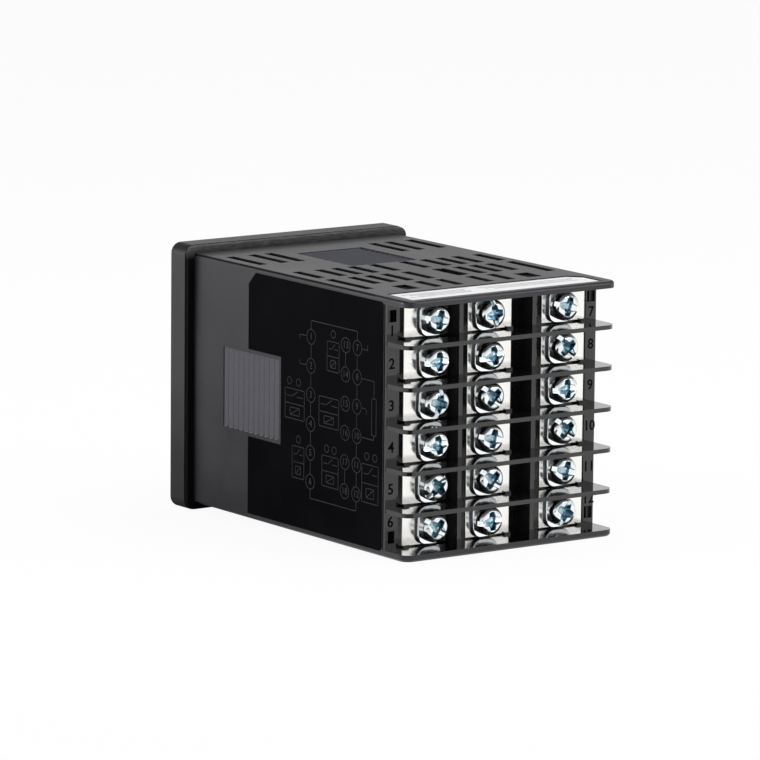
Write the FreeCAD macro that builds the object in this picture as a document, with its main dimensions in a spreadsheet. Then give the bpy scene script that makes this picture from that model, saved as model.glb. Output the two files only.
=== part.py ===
import FreeCAD, Part
import Sketcher
import os
import re

# Panel-mounted digital counter with a 72 mm square front, for a 68 mm square cut-out.
# Millimetres. +Z is up, +Y points into the panel, towards the terminals, and +X is to the right
# of someone who faces the display. The origin is the centre of the seat on the panel's front face.

SIZES = {
    # front frame, gasket and lens
    "bezel_side": 72.0,
    "bezel_corner": 2.9,
    "bezel_edge": 1.0,
    "bezel_depth": 7.3,
    "bezel_face": 2.6,
    "bezel_hollow": 59.0,
    "spigot_rear": 2.0,
    "gasket_side": 71.6,
    "gasket_corner": 2.4,
    "gasket_edge": 0.3,
    "gasket_depth": 1.4,
    "lens_wide": 60.0,
    "lens_tall": 38.0,
    "lens_thick": 1.4,
    "lens_gap": 0.2,
    "lens_lip": 1.5,
    "lens_mid": 9.5,
    # keys and their switches
    "key_wide": 10.0,
    "key_tall": 6.0,
    "key_mid": -22.0,
    "key_pitch": 14.0,
    "key_proud": 0.8,
    "key_room": 0.35,
    "key_edge": 0.6,
    "key_flange": 1.0,
    "key_flange_thick": 0.8,
    "key_lift": 0.4,
    "switch_side": 6.0,
    "switch_depth": 4.2,
    "plunger_radius": 1.4,
    "plunger_long": 4.1,
    "plunger_well": 2.5,
    # case
    "body_side": 67.6,
    "body_edge": 0.8,
    "body_bevel": 0.5,
    "wall": 1.8,
    "side_wall_end": 87.3,
    "rear_end": 97.5,
    "flange_corner": 3.0,
    "vent_wide": 1.9,
    "vent_wide_big": 3.6,
    "vent_column_a": 4.9,
    "vent_column_b": 11.7,
    "vent_column_c": 17.0,
    "vent_column_d": 22.2,
    "vent_column_e": 29.2,
    "vent_column_big": -5.7,
    "vent_first_front": 10.3,
    "vent_first_rear": 25.6,
    "vent_second_front": 41.2,
    "vent_second_rear": 52.4,
    "vent_third_front": 56.2,
    "vent_third_rear": 67.8,
    "vent_third_long": 74.3,
    "vent_fourth_front": 71.2,
    "vent_fourth_rear": 80.3,
    "window_column": 19.6,
    "window_wide": 4.6,
    "window_front": 73.4,
    "window_rear": 80.4,
    "pad_front": 14.0,
    "pad_rear": 40.2,
    "pad_wide": 21.4,
    "pad_deep": 0.9,
    "tooth_crest": 0.3,
    "tooth_count": 11,
    "rail_lip": 1.1,
    "rail_hold": 1.2,
    "rail_front": 14.0,
    "rail_rear": 66.0,
    # labels
    "strip_label_wide": 60.4,
    "strip_label_front": 83.9,
    "strip_label_rear": 94.8,
    "strip_label_cut": 3.3,
    "strip_label_thick": 0.15,
    "strip_recess_rim": 0.4,
    "strip_recess_deep": 0.4,
    "side_label_front": 26.0,
    "side_label_rear": 87.0,
    "side_label_half": 32.4,
    "side_label_cut": 3.2,
    "side_label_corner": 1.2,
    "side_label_thick": 0.15,
    "side_label_rim": 1.0,
    # terminal block
    "base_front": 83.3,
    "base_face": 86.8,
    "strip_face": 88.2,
    "strip_inner": 30.3,
    "strip_outer": 33.6,
    "fin_reach": 33.5,
    "fin_thick": 1.15,
    "fin_pitch": 10.87,
    "fin_corner": 3.0,
    "fin_foot": 88.0,
    "rib_first": 12.8,
    "rib_second": -10.6,
    "rib_thick": 1.2,
    "rib_rear": 92.0,
    "column_first": 19.5,
    "column_second": 2.0,
    "column_third": -21.8,
    "spine_wide": 8.4,
    "spine_front": 77.5,
    "spine_tall": 61.0,
    "screw_well": 1.0,
    "hook_wide": 4.0,
    "hook_thick": 1.4,
    "hook_arm_front": 72.6,
    "hook_front": 74.0,
    "hook_rear": 80.0,
    "hook_proud": 1.2,
    "cover_pocket_inner": 30.6,
    "cover_pocket_outer": 33.2,
    "cover_pocket_low": 27.2,
    "cover_pocket_high": 30.4,
    "cover_pocket_deep": 2.6,
    "nub_wide": 1.8,
    "nub_tall": 0.7,
    "nub_rear": 88.5,
    "tongue_tall": 0.35,
    # terminals
    "plate_outer": 8.4,
    "plate_inner": 5.7,
    "plate_tall": 8.8,
    "plate_thick": 1.0,
    "plate_edge": 0.15,
    "tail_outer": 8.1,
    "tail_inner": 7.1,
    "tail_tall": 3.0,
    "tail_front": 68.0,
    "tail_room": 0.2,
    "screw_radius": 1.75,
    "screw_room": 0.2,
    "screw_tip": 79.0,
    "screw_point": 0.6,
    "head_radius": 3.85,
    "head_tall": 3.3,
    "head_round": 1.6,
    "head_shoulder": 0.47,
    "washer_wide": 8.0,
    "washer_tall": 9.2,
    "washer_corner": 2.6,
    "washer_thick": 1.0,
    # boards and what they carry
    "board_thick": 1.6,
    "display_board_side": 63.6,
    "board_front": 12.0,
    "board_rear": 76.0,
    "board_half": 30.6,
    "power_board_side": 26.6,
    "output_board_side": -6.1,
    "input_board_side": -27.3,
    "digit_left": -20.0,
    "digit_right": 26.0,
    "digit_face": -6.3,
    "count_low": 10.0,
    "count_high": 26.4,
    "preset_low": -7.0,
    "preset_high": 8.0,
    "lamp_column": -24.5,
    "lamp_radius": 1.5,
    "lamp_low": -4.0,
    "lamp_pitch": 9.0,
    "chip_side": 10.0,
    "chip_thick": 1.4,
    "chip_across": 10.0,
    "chip_up": 15.0,
    "header_wide": 5.0,
    "header_tall": 26.0,
    "core_front": 30.0,
    "core_rear": 52.0,
    "core_half": 12.0,
    "core_inner": 11.5,
    "core_outer": 21.5,
    "core_leg": 3.0,
    "core_yoke": 4.0,
    "core_middle_leg": 5.0,
    "winding_inner": 8.0,
    "capacitor_radius": 5.0,
    "capacitor_long": 16.0,
    "capacitor_along": 61.0,
    "capacitor_up": 13.0,
    "relay_wide": 15.0,
    "relay_front": 44.0,
    "relay_rear": 63.0,
    "relay_tall": 12.0,
    "relay_up": 14.0,
    "coupler_proud": 3.5,
    "coupler_front": 55.0,
    "coupler_rear": 61.5,
    "coupler_tall": 4.6,
    "coupler_pitch": 12.0,
}

KEYS = 4
ROWS = 6
FINS = 5
COUPLERS = 4
LAMPS = 4

doc = FreeCAD.newDocument("digital_counter")
sheet = doc.addObject("Spreadsheet::Sheet", "sizes")
for row, (alias, value) in enumerate(SIZES.items(), 1):
    sheet.set("A%d" % row, alias)
    sheet.set("B%d" % row, str(value))
    sheet.setAlias("B%d" % row, alias)
doc.recompute()

SIZE_WORD = re.compile(r"[a-z][a-z_]+")
subparts = []


def bound(text):
    """An expression in which each word of the size table points at its cell."""
    return SIZE_WORD.sub(lambda found: "sizes." + found.group(0), str(text))


def new_body(name):
    body = doc.addObject("PartDesign::Body", name)
    body.Label = name
    return body


def new_subpart(name):
    """A body that is one node of the finished object."""
    body = new_body(name)
    subparts.append(body)
    return body


def origin_feature(body, role):
    return next(feature for feature in body.Origin.OriginFeatures if feature.Role == role)


def new_sketch(body, plane, offset="0"):
    """A sketch on one of the body's own planes, moved along the global axis that the plane faces."""
    sketch = body.newObject("Sketcher::SketchObject", body.Name + "_outline")
    sketch.AttachmentSupport = [(origin_feature(body, plane), "")]
    sketch.MapMode = "FlatFace"
    sign = "-1" if plane == "XZ_Plane" else "1"
    sketch.setExpression("AttachmentOffset.Base.z", bound("%s * (%s)" % (sign, offset)))
    return sketch


def tie(sketch, constraints, texts):
    """Adds constraints in one call and ties the last of them to the expressions in texts."""
    first = sketch.ConstraintCount + len(constraints) - len(texts)
    sketch.addConstraint(constraints)
    for i, text in enumerate(texts):
        sketch.setExpression("Constraints[%d]" % (first + i), bound(text))


def from_origin(geometry, end, place):
    """Constraints that measure one end of a line, or a circle's centre, from the sketch's origin."""
    return [
        Sketcher.Constraint("DistanceX", -1, 1, geometry, end, place.x),
        Sketcher.Constraint("DistanceY", -1, 1, geometry, end, place.y),
    ]


def polygon(sketch, points):
    """A closed outline through points given as pairs of expressions."""
    first = sketch.GeometryCount
    count = len(points)
    # any loop without zero-length sides will do, because the expressions place its corners
    corners = [FreeCAD.Vector(i + 1, 1 + (i * i) % 7, 0) for i in range(count)]
    lines = [Part.LineSegment(corners[i - 1], corners[i]) for i in range(count)]
    joints = [Sketcher.Constraint("Coincident", first + i - 1, 2, first + i, 1) for i in range(1, count)]
    joints.append(Sketcher.Constraint("Coincident", first + count - 1, 2, first, 1))
    places = [item for i in range(count) for item in from_origin(first + i, 2, corners[i])]
    sketch.addGeometry(lines, False)
    tie(sketch, joints + places, [text for point in points for text in point])


def rectangle(sketch, left, right, low, high):
    polygon(sketch, [(left, low), (right, low), (right, high), (left, high)])


def square(sketch, side, across="0", up="0"):
    half = "(%s) / 2" % side
    rectangle(
        sketch,
        "%s - %s" % (across, half),
        "%s + %s" % (across, half),
        "%s - %s" % (up, half),
        "%s + %s" % (up, half),
    )


def circle(sketch, across, up, radius):
    centre = FreeCAD.Vector(1 + sketch.GeometryCount, 1, 0)
    index = sketch.addGeometry(Part.Circle(centre, FreeCAD.Vector(0, 0, 1), 1.0), False)
    constraints = from_origin(index, 3, centre) + [Sketcher.Constraint("Radius", index, 1.0)]
    tie(sketch, constraints, [across, up, radius])


def volume(body):
    doc.recompute()
    return body.Shape.Volume


def pad(body, sketch, length, symmetric=False, backwards=False):
    """Adds material along the global axis that the sketch faces, or against it."""
    feature = body.newObject("PartDesign::Pad", body.Name + "_pad")
    feature.Profile = sketch
    feature.setExpression("Length", bound(length))
    feature.SideType = "Symmetric" if symmetric else "One side"
    faces_minus = sketch.AttachmentSupport[0][0].Role == "XZ_Plane"
    feature.Reversed = faces_minus != backwards
    doc.recompute()
    return feature


def pocket(body, sketch, length=None, symmetric=False, backwards=False):
    """Cuts along the global axis that the sketch faces, or against it; without a length, right through."""
    before = volume(body)
    feature = body.newObject("PartDesign::Pocket", body.Name + "_pocket")
    feature.Profile = sketch
    if length is None:
        feature.Type = "ThroughAll"
    else:
        feature.setExpression("Length", bound(length))
    feature.SideType = "Symmetric" if symmetric else "One side"
    faces_minus = sketch.AttachmentSupport[0][0].Role == "XZ_Plane"
    feature.Reversed = faces_minus == backwards
    if volume(body) >= before:
        raise RuntimeError("a pocket of %s cuts nothing" % body.Label)
    return feature


def along(edge, axis):
    """True if a straight edge runs along X, Y or Z, given as 0, 1 or 2."""
    if edge.Curve.TypeId != "Part::GeomLine":
        return False
    return abs(abs(edge.Curve.Direction[axis]) - 1) < 1e-6


def near(value, wanted):
    return abs(value - wanted) < 1e-4


def dress_edges(body, kind, setting, size, wanted):
    """Adds a fillet or chamfer on the edges of the body's last feature for which the test holds."""
    doc.recompute()
    base = body.Tip
    names = ["Edge%d" % (i + 1) for i, edge in enumerate(base.Shape.Edges) if wanted(edge)]
    feature = body.newObject("PartDesign::" + kind, "%s_%s" % (body.Name, kind.lower()))
    feature.Base = (base, names)
    feature.setExpression(setting, bound(size))
    doc.recompute()
    return feature


def round_edges(body, radius, wanted):
    return dress_edges(body, "Fillet", "Radius", radius, wanted)


def bevel_edges(body, size, wanted):
    return dress_edges(body, "Chamfer", "Size", size, wanted)


def middle(edge):
    return edge.BoundBox.Center


def group(name, master, places):
    """One node that holds a copy of the master at each place: column, row and half turns about Y."""
    copies = []
    for across, up, turned in places:
        copy = doc.addObject("App::Link", name + "_copy")
        copy.LinkedObject = master
        if turned:
            copy.Placement = FreeCAD.Placement(FreeCAD.Vector(), FreeCAD.Rotation(FreeCAD.Vector(0, 1, 0), 180))
        copy.setExpression("Placement.Base.x", bound(across))
        copy.setExpression("Placement.Base.z", bound(up))
        copies.append(copy)
    node = doc.addObject("Part::Compound", name)
    node.Label = name
    node.Links = copies
    subparts.append(node)
    return node


HALF_BODY = "body_side / 2"
INSIDE = "(body_side / 2 - wall)"
SEAT = "-gasket_depth"
FACE = "(-gasket_depth - bezel_depth)"
BOARD_REAR = "(spigot_rear + board_thick)"
PLATE_FACE = "(base_face + plate_thick)"
WASHER_FACE = "(base_face + plate_thick + washer_thick)"
COLUMNS = ("column_first", "column_second", "column_third")
ROW_HEIGHTS = ["%g * fin_pitch" % (row - (ROWS - 1) / 2) for row in range(ROWS)]
# the first column's plates reach to +X and the other two columns' plates to -X
OUTWARD = {"column_first": 1, "column_second": -1, "column_third": -1}
TERMINAL_PLACES = [(column, up, OUTWARD[column] < 0) for column in COLUMNS for up in ROW_HEIGHTS]


def key_across(index):
    return "%g * key_pitch" % (index - (KEYS - 1) / 2)


def make_bezel():
    """Front frame: rounded square with lens rebate, key holes, hollow back and a spigot into the case."""
    body = new_subpart("bezel")
    outline = new_sketch(body, "XZ_Plane", FACE)
    square(outline, "bezel_side")
    pad(body, outline, "bezel_depth")
    half = SIZES["bezel_side"] / 2
    face = -SIZES["gasket_depth"] - SIZES["bezel_depth"]
    round_edges(body, "bezel_corner", lambda edge: along(edge, 1))
    round_edges(body, "bezel_edge", lambda edge: near(edge.BoundBox.YMax, face) and near(middle(edge).z, half))
    spigot = new_sketch(body, "XZ_Plane", SEAT)
    square(spigot, "2 * " + INSIDE)
    pad(body, spigot, "spigot_rear + gasket_depth")
    hollow = new_sketch(body, "XZ_Plane", FACE + " + bezel_face")
    square(hollow, "bezel_hollow")
    pocket(body, hollow)
    rebate = new_sketch(body, "XZ_Plane", FACE)
    lens_outline(rebate, "0")
    pocket(body, rebate, "lens_gap + lens_thick")
    openings = new_sketch(body, "XZ_Plane", FACE)
    lens_outline(openings, "lens_lip")
    for index in range(KEYS):
        key_outline(openings, index, "key_room")
    pocket(body, openings, "bezel_face")


def lens_outline(sketch, inset):
    rectangle(
        sketch,
        "-lens_wide / 2 + %s" % inset,
        "lens_wide / 2 - %s" % inset,
        "lens_mid - lens_tall / 2 + %s" % inset,
        "lens_mid + lens_tall / 2 - %s" % inset,
    )


def key_outline(sketch, index, grow):
    rectangle(
        sketch,
        "%s - key_wide / 2 - %s" % (key_across(index), grow),
        "%s + key_wide / 2 + %s" % (key_across(index), grow),
        "key_mid - key_tall / 2 - %s" % grow,
        "key_mid + key_tall / 2 + %s" % grow,
    )


def make_gasket():
    """Rubber ring round the case, pressed between the bezel and the panel."""
    body = new_subpart("panel_gasket")
    outline = new_sketch(body, "XZ_Plane", SEAT)
    square(outline, "gasket_side")
    pad(body, outline, "gasket_depth")
    half = SIZES["gasket_side"] / 2
    round_edges(body, "gasket_corner", lambda edge: along(edge, 1))
    round_edges(body, "gasket_edge", lambda edge: near(edge.BoundBox.YMin, 0) and near(middle(edge).z, half))
    hole = new_sketch(body, "XZ_Plane", SEAT)
    square(hole, "body_side")
    pocket(body, hole)


def make_lens():
    body = new_subpart("display_lens")
    outline = new_sketch(body, "XZ_Plane", FACE + " + lens_gap")
    lens_outline(outline, "0")
    pad(body, outline, "lens_thick")


def make_key(index):
    """Key cap with a flange that keeps it behind the bezel's face."""
    body = new_subpart("key_%d" % (index + 1))
    cap = new_sketch(body, "XZ_Plane", FACE + " - key_proud")
    key_outline(cap, index, "0")
    pad(body, cap, "key_proud + bezel_face + key_lift")
    face = -SIZES["gasket_depth"] - SIZES["bezel_depth"] - SIZES["key_proud"]
    round_edges(body, "key_edge", lambda edge: along(edge, 1) or near(edge.BoundBox.YMax, face))
    flange = new_sketch(body, "XZ_Plane", FACE + " + bezel_face + key_lift")
    key_outline(flange, index, "key_flange")
    pad(body, flange, "key_flange_thick")


def make_plunger(index):
    """Switch plunger behind a key cap; it rides in its switch and moves with the key."""
    body = new_subpart("plunger_%d" % (index + 1))
    outline = new_sketch(body, "XZ_Plane", FACE + " + bezel_face + key_lift + key_flange_thick")
    circle(outline, key_across(index), "key_mid", "plunger_radius")
    pad(body, outline, "plunger_long")


def make_switches():
    """Four switch housings on the front of the display board, each with a well for its plunger."""
    body = new_subpart("key_switches")
    housings = new_sketch(body, "XZ_Plane", "spigot_rear - switch_depth")
    wells = new_sketch(body, "XZ_Plane", "spigot_rear - switch_depth")
    for index in range(KEYS):
        square(housings, "switch_side", key_across(index), "key_mid")
        circle(wells, key_across(index), "key_mid", "plunger_radius + key_room")
    pad(body, housings, "switch_depth")
    pocket(body, wells, "plunger_well")


def vent_outlines(sketch):
    """Cooling slots in five columns to each side of the middle, in four rows from front to rear."""
    rows = (
        ("vent_first_front", "vent_first_rear", "cde"),
        ("vent_second_front", "vent_second_rear", "abcde"),
        ("vent_third_front", "vent_third_rear", "bcd"),
        ("vent_third_front", "vent_third_long", "e"),
        ("vent_fourth_front", "vent_fourth_rear", "ab"),
    )
    for front, rear, columns in rows:
        for letter in columns:
            for side in ("", "-"):
                slot(sketch, "%svent_column_%s" % (side, letter), "vent_wide", front, rear)
    slot(sketch, "vent_column_a", "vent_wide", "vent_third_front", "vent_third_rear")
    slot(sketch, "vent_column_big", "vent_wide_big", "vent_third_front", "vent_third_rear")
    for side in ("", "-"):
        slot(sketch, side + "window_column", "window_wide", "window_front", "window_rear")


def slot(sketch, across, wide, front, rear):
    rectangle(sketch, "%s - %s / 2" % (across, wide), "%s + %s / 2" % (across, wide), front, rear)


def ratchet_outline(sketch, side, swapped):
    """Saw-tooth recess for the clamp's pawl, steep towards the front; side is 1 or -1."""
    surface = "%d * (body_side / 2 + 1)" % side
    crest = "%d * (body_side / 2 - tooth_crest)" % side
    root = "%d * (body_side / 2 - pad_deep)" % side
    count = int(SIZES["tooth_count"])
    points = [(surface, "pad_front"), (crest, "pad_front")]
    for tooth in range(1, count + 1):
        place = "pad_front + (pad_rear - pad_front) * %d / tooth_count" % tooth
        points.append((root, place))
        points.append((crest if tooth < count else surface, place))
    polygon(sketch, [point[::-1] for point in points] if swapped else points)


def board_rail(sketch, board_side, edge):
    """Channel under the top wall, or on the bottom one, that holds a board's edge; edge is 1 or -1."""
    left = board_side + " - board_thick"
    wall_face = "%d * %s" % (edge, INSIDE)
    floor = "%d * board_half" % edge
    lip = "%d * (board_half - rail_hold)" % edge
    polygon(
        sketch,
        [
            (left + " - rail_lip", wall_face),
            (board_side + " + rail_lip", wall_face),
            (board_side + " + rail_lip", lip),
            (board_side, lip),
            (board_side, floor),
            (left, floor),
            (left, lip),
            (left + " - rail_lip", lip),
        ],
    )


def strip_label_points(grow):
    """Outline of the strip on the top face, with one corner cut off."""
    half = "strip_label_wide / 2 + %s" % grow
    front = "strip_label_front - %s" % grow
    rear = "strip_label_rear + %s" % grow
    return [
        ("-(%s)" % half, rear),
        (half, rear),
        (half, front),
        ("-(%s) + strip_label_cut" % half, front),
        ("-(%s)" % half, "%s + strip_label_cut" % front),
    ]


def make_case():
    """Moulded tube with vents, ratchet pads, snap windows and two rear flanges."""
    body = new_subpart("case")
    outside = new_sketch(body, "XZ_Plane", SEAT)
    square(outside, "body_side")
    pad(body, outside, "rear_end + gasket_depth")
    inside = new_sketch(body, "XZ_Plane", SEAT)
    square(inside, "2 * " + INSIDE)
    pocket(body, inside)
    # the side walls end at the terminal block, the top and bottom walls go on as flanges
    sides = new_sketch(body, "YZ_Plane")
    rectangle(sides, "side_wall_end", "rear_end + 1", "-" + INSIDE, INSIDE)
    pocket(body, sides, symmetric=True)
    half = SIZES["body_side"] / 2
    rear = SIZES["rear_end"]

    def flange_corner(edge):
        return along(edge, 2) and near(middle(edge).y, rear) and near(abs(middle(edge).x), half)

    def long_corner(edge, height):
        place = middle(edge)
        return along(edge, 1) and near(abs(place.x), half) and near(place.z, height)

    round_edges(body, "flange_corner", flange_corner)
    round_edges(body, "body_edge", lambda edge: long_corner(edge, half))
    bevel_edges(body, "body_bevel", lambda edge: long_corner(edge, -half))
    vents = new_sketch(body, "XY_Plane")
    vent_outlines(vents)
    pocket(body, vents, symmetric=True)
    for plane, swapped in (("XY_Plane", False), ("YZ_Plane", True)):
        pads = new_sketch(body, plane)
        for side in (1, -1):
            ratchet_outline(pads, side, swapped)
        pocket(body, pads, "pad_wide", symmetric=True)
    recess = new_sketch(body, "XY_Plane", HALF_BODY)
    polygon(recess, strip_label_points("strip_recess_rim"))
    pocket(body, recess, "strip_recess_deep", backwards=True)
    rails = new_sketch(body, "XZ_Plane", "rail_front")
    for board_side in ("power_board_side", "output_board_side", "input_board_side"):
        for edge in (1, -1):
            board_rail(rails, board_side, edge)
    pad(body, rails, "rail_rear - rail_front")


def make_strip_label():
    body = new_subpart("strip_label")
    outline = new_sketch(body, "XY_Plane", HALF_BODY + " - strip_recess_deep")
    polygon(outline, strip_label_points("0"))
    pad(body, outline, "strip_label_thick")


def make_side_label():
    """Sheet on the right-hand wall, cut round the ratchet pad."""
    body = new_subpart("side_label")
    outline = new_sketch(body, "YZ_Plane", HALF_BODY)
    notch = "pad_rear + side_label_rim"
    notch_half = "pad_wide / 2 + side_label_rim"
    polygon(
        outline,
        [
            ("side_label_front", "-side_label_half"),
            ("side_label_rear", "-side_label_half"),
            ("side_label_rear", "side_label_half"),
            ("side_label_front + side_label_cut", "side_label_half"),
            ("side_label_front", "side_label_half - side_label_cut"),
            ("side_label_front", notch_half),
            (notch, notch_half),
            (notch, "-(%s)" % notch_half),
            ("side_label_front", "-(%s)" % notch_half),
        ],
    )
    pad(body, outline, "side_label_thick")
    corner = SIZES["side_label_rear"]
    round_edges(body, "side_label_corner", lambda edge: along(edge, 0) and near(middle(edge).y, corner))


def make_terminal_block():
    """Moulded block with barrier fins, column ribs, number strips, cover pockets and snap hooks."""
    body = new_subpart("terminal_block")
    base = new_sketch(body, "XZ_Plane", "base_front")
    square(base, "2 * " + INSIDE)
    pad(body, base, "base_face - base_front")
    spines = new_sketch(body, "XZ_Plane", "base_front")
    for column in COLUMNS:
        spine_half = "spine_wide / 2"
        rectangle(
            spines,
            "%s - %s" % (column, spine_half),
            "%s + %s" % (column, spine_half),
            "-spine_tall / 2",
            "spine_tall / 2",
        )
    pad(body, spines, "base_front - spine_front", backwards=True)
    add_strips(body)
    fin_sketch = new_sketch(body, "XY_Plane", "%g * fin_pitch" % (-(FINS - 1) / 2))
    wing = "fin_reach"
    root = "strip_inner + 1"
    polygon(
        fin_sketch,
        [
            ("-(%s)" % root, "base_face"),
            (root, "base_face"),
            (root, "fin_foot"),
            (wing, "fin_foot"),
            (wing, "rear_end"),
            ("-" + wing, "rear_end"),
            ("-" + wing, "fin_foot"),
            ("-(%s)" % root, "fin_foot"),
        ],
    )
    fin = pad(body, fin_sketch, "fin_thick", symmetric=True)
    fins = body.newObject("PartDesign::LinearPattern", "fin_rows")
    fins.Originals = [fin]
    fins.Direction = (origin_feature(body, "Z_Axis"), [""])
    fins.setExpression("Length", bound("%d * fin_pitch" % (FINS - 1)))
    fins.Occurrences = FINS
    body.Tip = fins
    rear = SIZES["rear_end"]
    reach = SIZES["fin_reach"]

    def fin_corner(edge):
        return along(edge, 2) and near(middle(edge).y, rear) and near(abs(middle(edge).x), reach)

    round_edges(body, "fin_corner", fin_corner)
    ribs = new_sketch(body, "XZ_Plane", "base_face")
    for rib in ("rib_first", "rib_second"):
        rectangle(ribs, rib + " - rib_thick / 2", rib + " + rib_thick / 2", "-" + INSIDE, INSIDE)
    pad(body, ribs, "rib_rear - base_face")
    add_nubs(body)
    add_hooks(body)
    cut_terminal_holes(body)
    pockets = new_sketch(body, "XZ_Plane", "strip_face")
    for side in ("", "-"):
        for edge in ("", "-"):
            rectangle(
                pockets,
                side + "cover_pocket_inner",
                side + "cover_pocket_outer",
                edge + "cover_pocket_low",
                edge + "cover_pocket_high",
            )
    pocket(body, pockets, "cover_pocket_deep", backwards=True)


def add_strips(body):
    """Number strips down both sides; they cap the ends of the case's side walls."""
    stems = new_sketch(body, "XZ_Plane", "base_face")
    caps = new_sketch(body, "XZ_Plane", "side_wall_end")
    for side in ("", "-"):
        rectangle(stems, side + "strip_inner", side + INSIDE, "-" + INSIDE, INSIDE)
        rectangle(caps, side + "strip_inner", side + "strip_outer", "-" + INSIDE, INSIDE)
    pad(body, stems, "side_wall_end - base_face")
    pad(body, caps, "strip_face - side_wall_end")


def add_nubs(body):
    """Small nubs that keep the plates in their seats: on the fins, and on three tongues below the last row."""
    nubs = new_sketch(body, "XZ_Plane", PLATE_FACE)
    tongues = new_sketch(body, "XZ_Plane", "base_face")
    floor = "-" + INSIDE
    for column in COLUMNS:
        sign = OUTWARD[column]
        outer = "%s + %d * plate_outer" % (column, sign)
        inner = "%s - %d * nub_wide" % (outer, sign)
        for up in ROW_HEIGHTS[1:]:
            low = "%s - fin_pitch / 2 + fin_thick / 2" % up
            rectangle(nubs, inner, outer, low, low + " + nub_tall")
        rectangle(nubs, inner, outer, floor, floor + " + nub_tall")
        rectangle(tongues, inner, outer, floor, floor + " + tongue_tall")
    pad(body, tongues, "nub_rear - base_face")
    pad(body, nubs, "nub_rear - " + PLATE_FACE)


def add_hooks(body):
    """Four snap arms that catch in the case's windows."""
    arms = new_sketch(body, "XZ_Plane", "hook_arm_front")
    noses = new_sketch(body, "XZ_Plane", "hook_front")
    for side in ("window_column", "-window_column"):
        left = side + " - hook_wide / 2"
        right = side + " + hook_wide / 2"
        for edge in ("", "-"):
            rectangle(arms, left, right, "%s(%s - hook_thick)" % (edge, INSIDE), edge + INSIDE)
            rectangle(noses, left, right, edge + INSIDE, "%s(%s + hook_proud)" % (edge, INSIDE))
    pad(body, arms, "base_front - hook_arm_front")
    pad(body, noses, "hook_rear - hook_front")


def cut_terminal_holes(body):
    """Blind square wells in the spines for the screws' ends, and slots for the plates' tails."""
    wells = new_sketch(body, "XZ_Plane", "base_face")
    slots = new_sketch(body, "XZ_Plane", "base_face")
    for column in COLUMNS:
        sign = OUTWARD[column]
        for up in ROW_HEIGHTS:
            square(wells, "2 * (screw_radius + screw_room)", column, up)
            rectangle(
                slots,
                "%s + %d * (tail_inner - tail_room)" % (column, sign),
                "%s + %d * (tail_outer + tail_room)" % (column, sign),
                "%s - tail_tall / 2 - tail_room" % up,
                "%s + tail_tall / 2 + tail_room" % up,
            )
    pocket(body, wells, "base_face - screw_tip + screw_well", backwards=True)
    pocket(body, slots, "base_face - base_front", backwards=True)


def make_terminals():
    """Plates with solder tails, square washers and screws, eighteen of each."""
    plate = new_body("terminal_plate")
    sheet_outline = new_sketch(plate, "XZ_Plane", "base_face")
    rectangle(sheet_outline, "-plate_inner", "plate_outer", "-plate_tall / 2", "plate_tall / 2")
    pad(plate, sheet_outline, "plate_thick")
    face = SIZES["base_face"] + SIZES["plate_thick"]

    def plate_end(edge):
        return along(edge, 2) and near(middle(edge).y, face)

    round_edges(plate, "plate_edge", plate_end)
    tail = new_sketch(plate, "XZ_Plane", "base_face")
    rectangle(tail, "tail_inner", "tail_outer", "-tail_tall / 2", "tail_tall / 2")
    pad(plate, tail, "base_face - tail_front", backwards=True)
    plate_hole = new_sketch(plate, "XZ_Plane", "base_face")
    circle(plate_hole, "0", "0", "screw_radius + screw_room")
    pocket(plate, plate_hole, "plate_thick")
    group("terminal_plates", plate, TERMINAL_PLACES)

    washer = new_body("square_washer")
    washer_outline = new_sketch(washer, "XZ_Plane", PLATE_FACE)
    rectangle(washer_outline, "-washer_wide / 2", "washer_wide / 2", "-washer_tall / 2", "washer_tall / 2")
    pad(washer, washer_outline, "washer_thick")
    round_edges(washer, "washer_corner", lambda edge: along(edge, 1))
    washer_hole = new_sketch(washer, "XZ_Plane", PLATE_FACE)
    circle(washer_hole, "0", "0", "screw_radius + screw_room")
    pocket(washer, washer_hole, "washer_thick")
    group("square_washers", washer, TERMINAL_PLACES)

    screw = new_body("terminal_screw")
    profile = new_sketch(screw, "XY_Plane")
    head_face = WASHER_FACE + " + head_tall"
    polygon(
        profile,
        [
            ("0", "screw_tip"),
            ("screw_radius - screw_point", "screw_tip"),
            ("screw_radius", "screw_tip + screw_point"),
            ("screw_radius", WASHER_FACE),
            ("head_radius", WASHER_FACE),
            ("head_radius", head_face + " - head_round"),
            ("head_radius - head_shoulder", head_face + " - head_shoulder"),
            ("head_radius - head_round", head_face),
            ("0", head_face),
        ],
    )
    turned = screw.newObject("PartDesign::Revolution", "screw_turning")
    turned.Profile = profile
    turned.ReferenceAxis = (origin_feature(screw, "Y_Axis"), [""])
    turned.Angle = 360
    doc.recompute()
    group("terminal_screws", screw, TERMINAL_PLACES)


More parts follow.
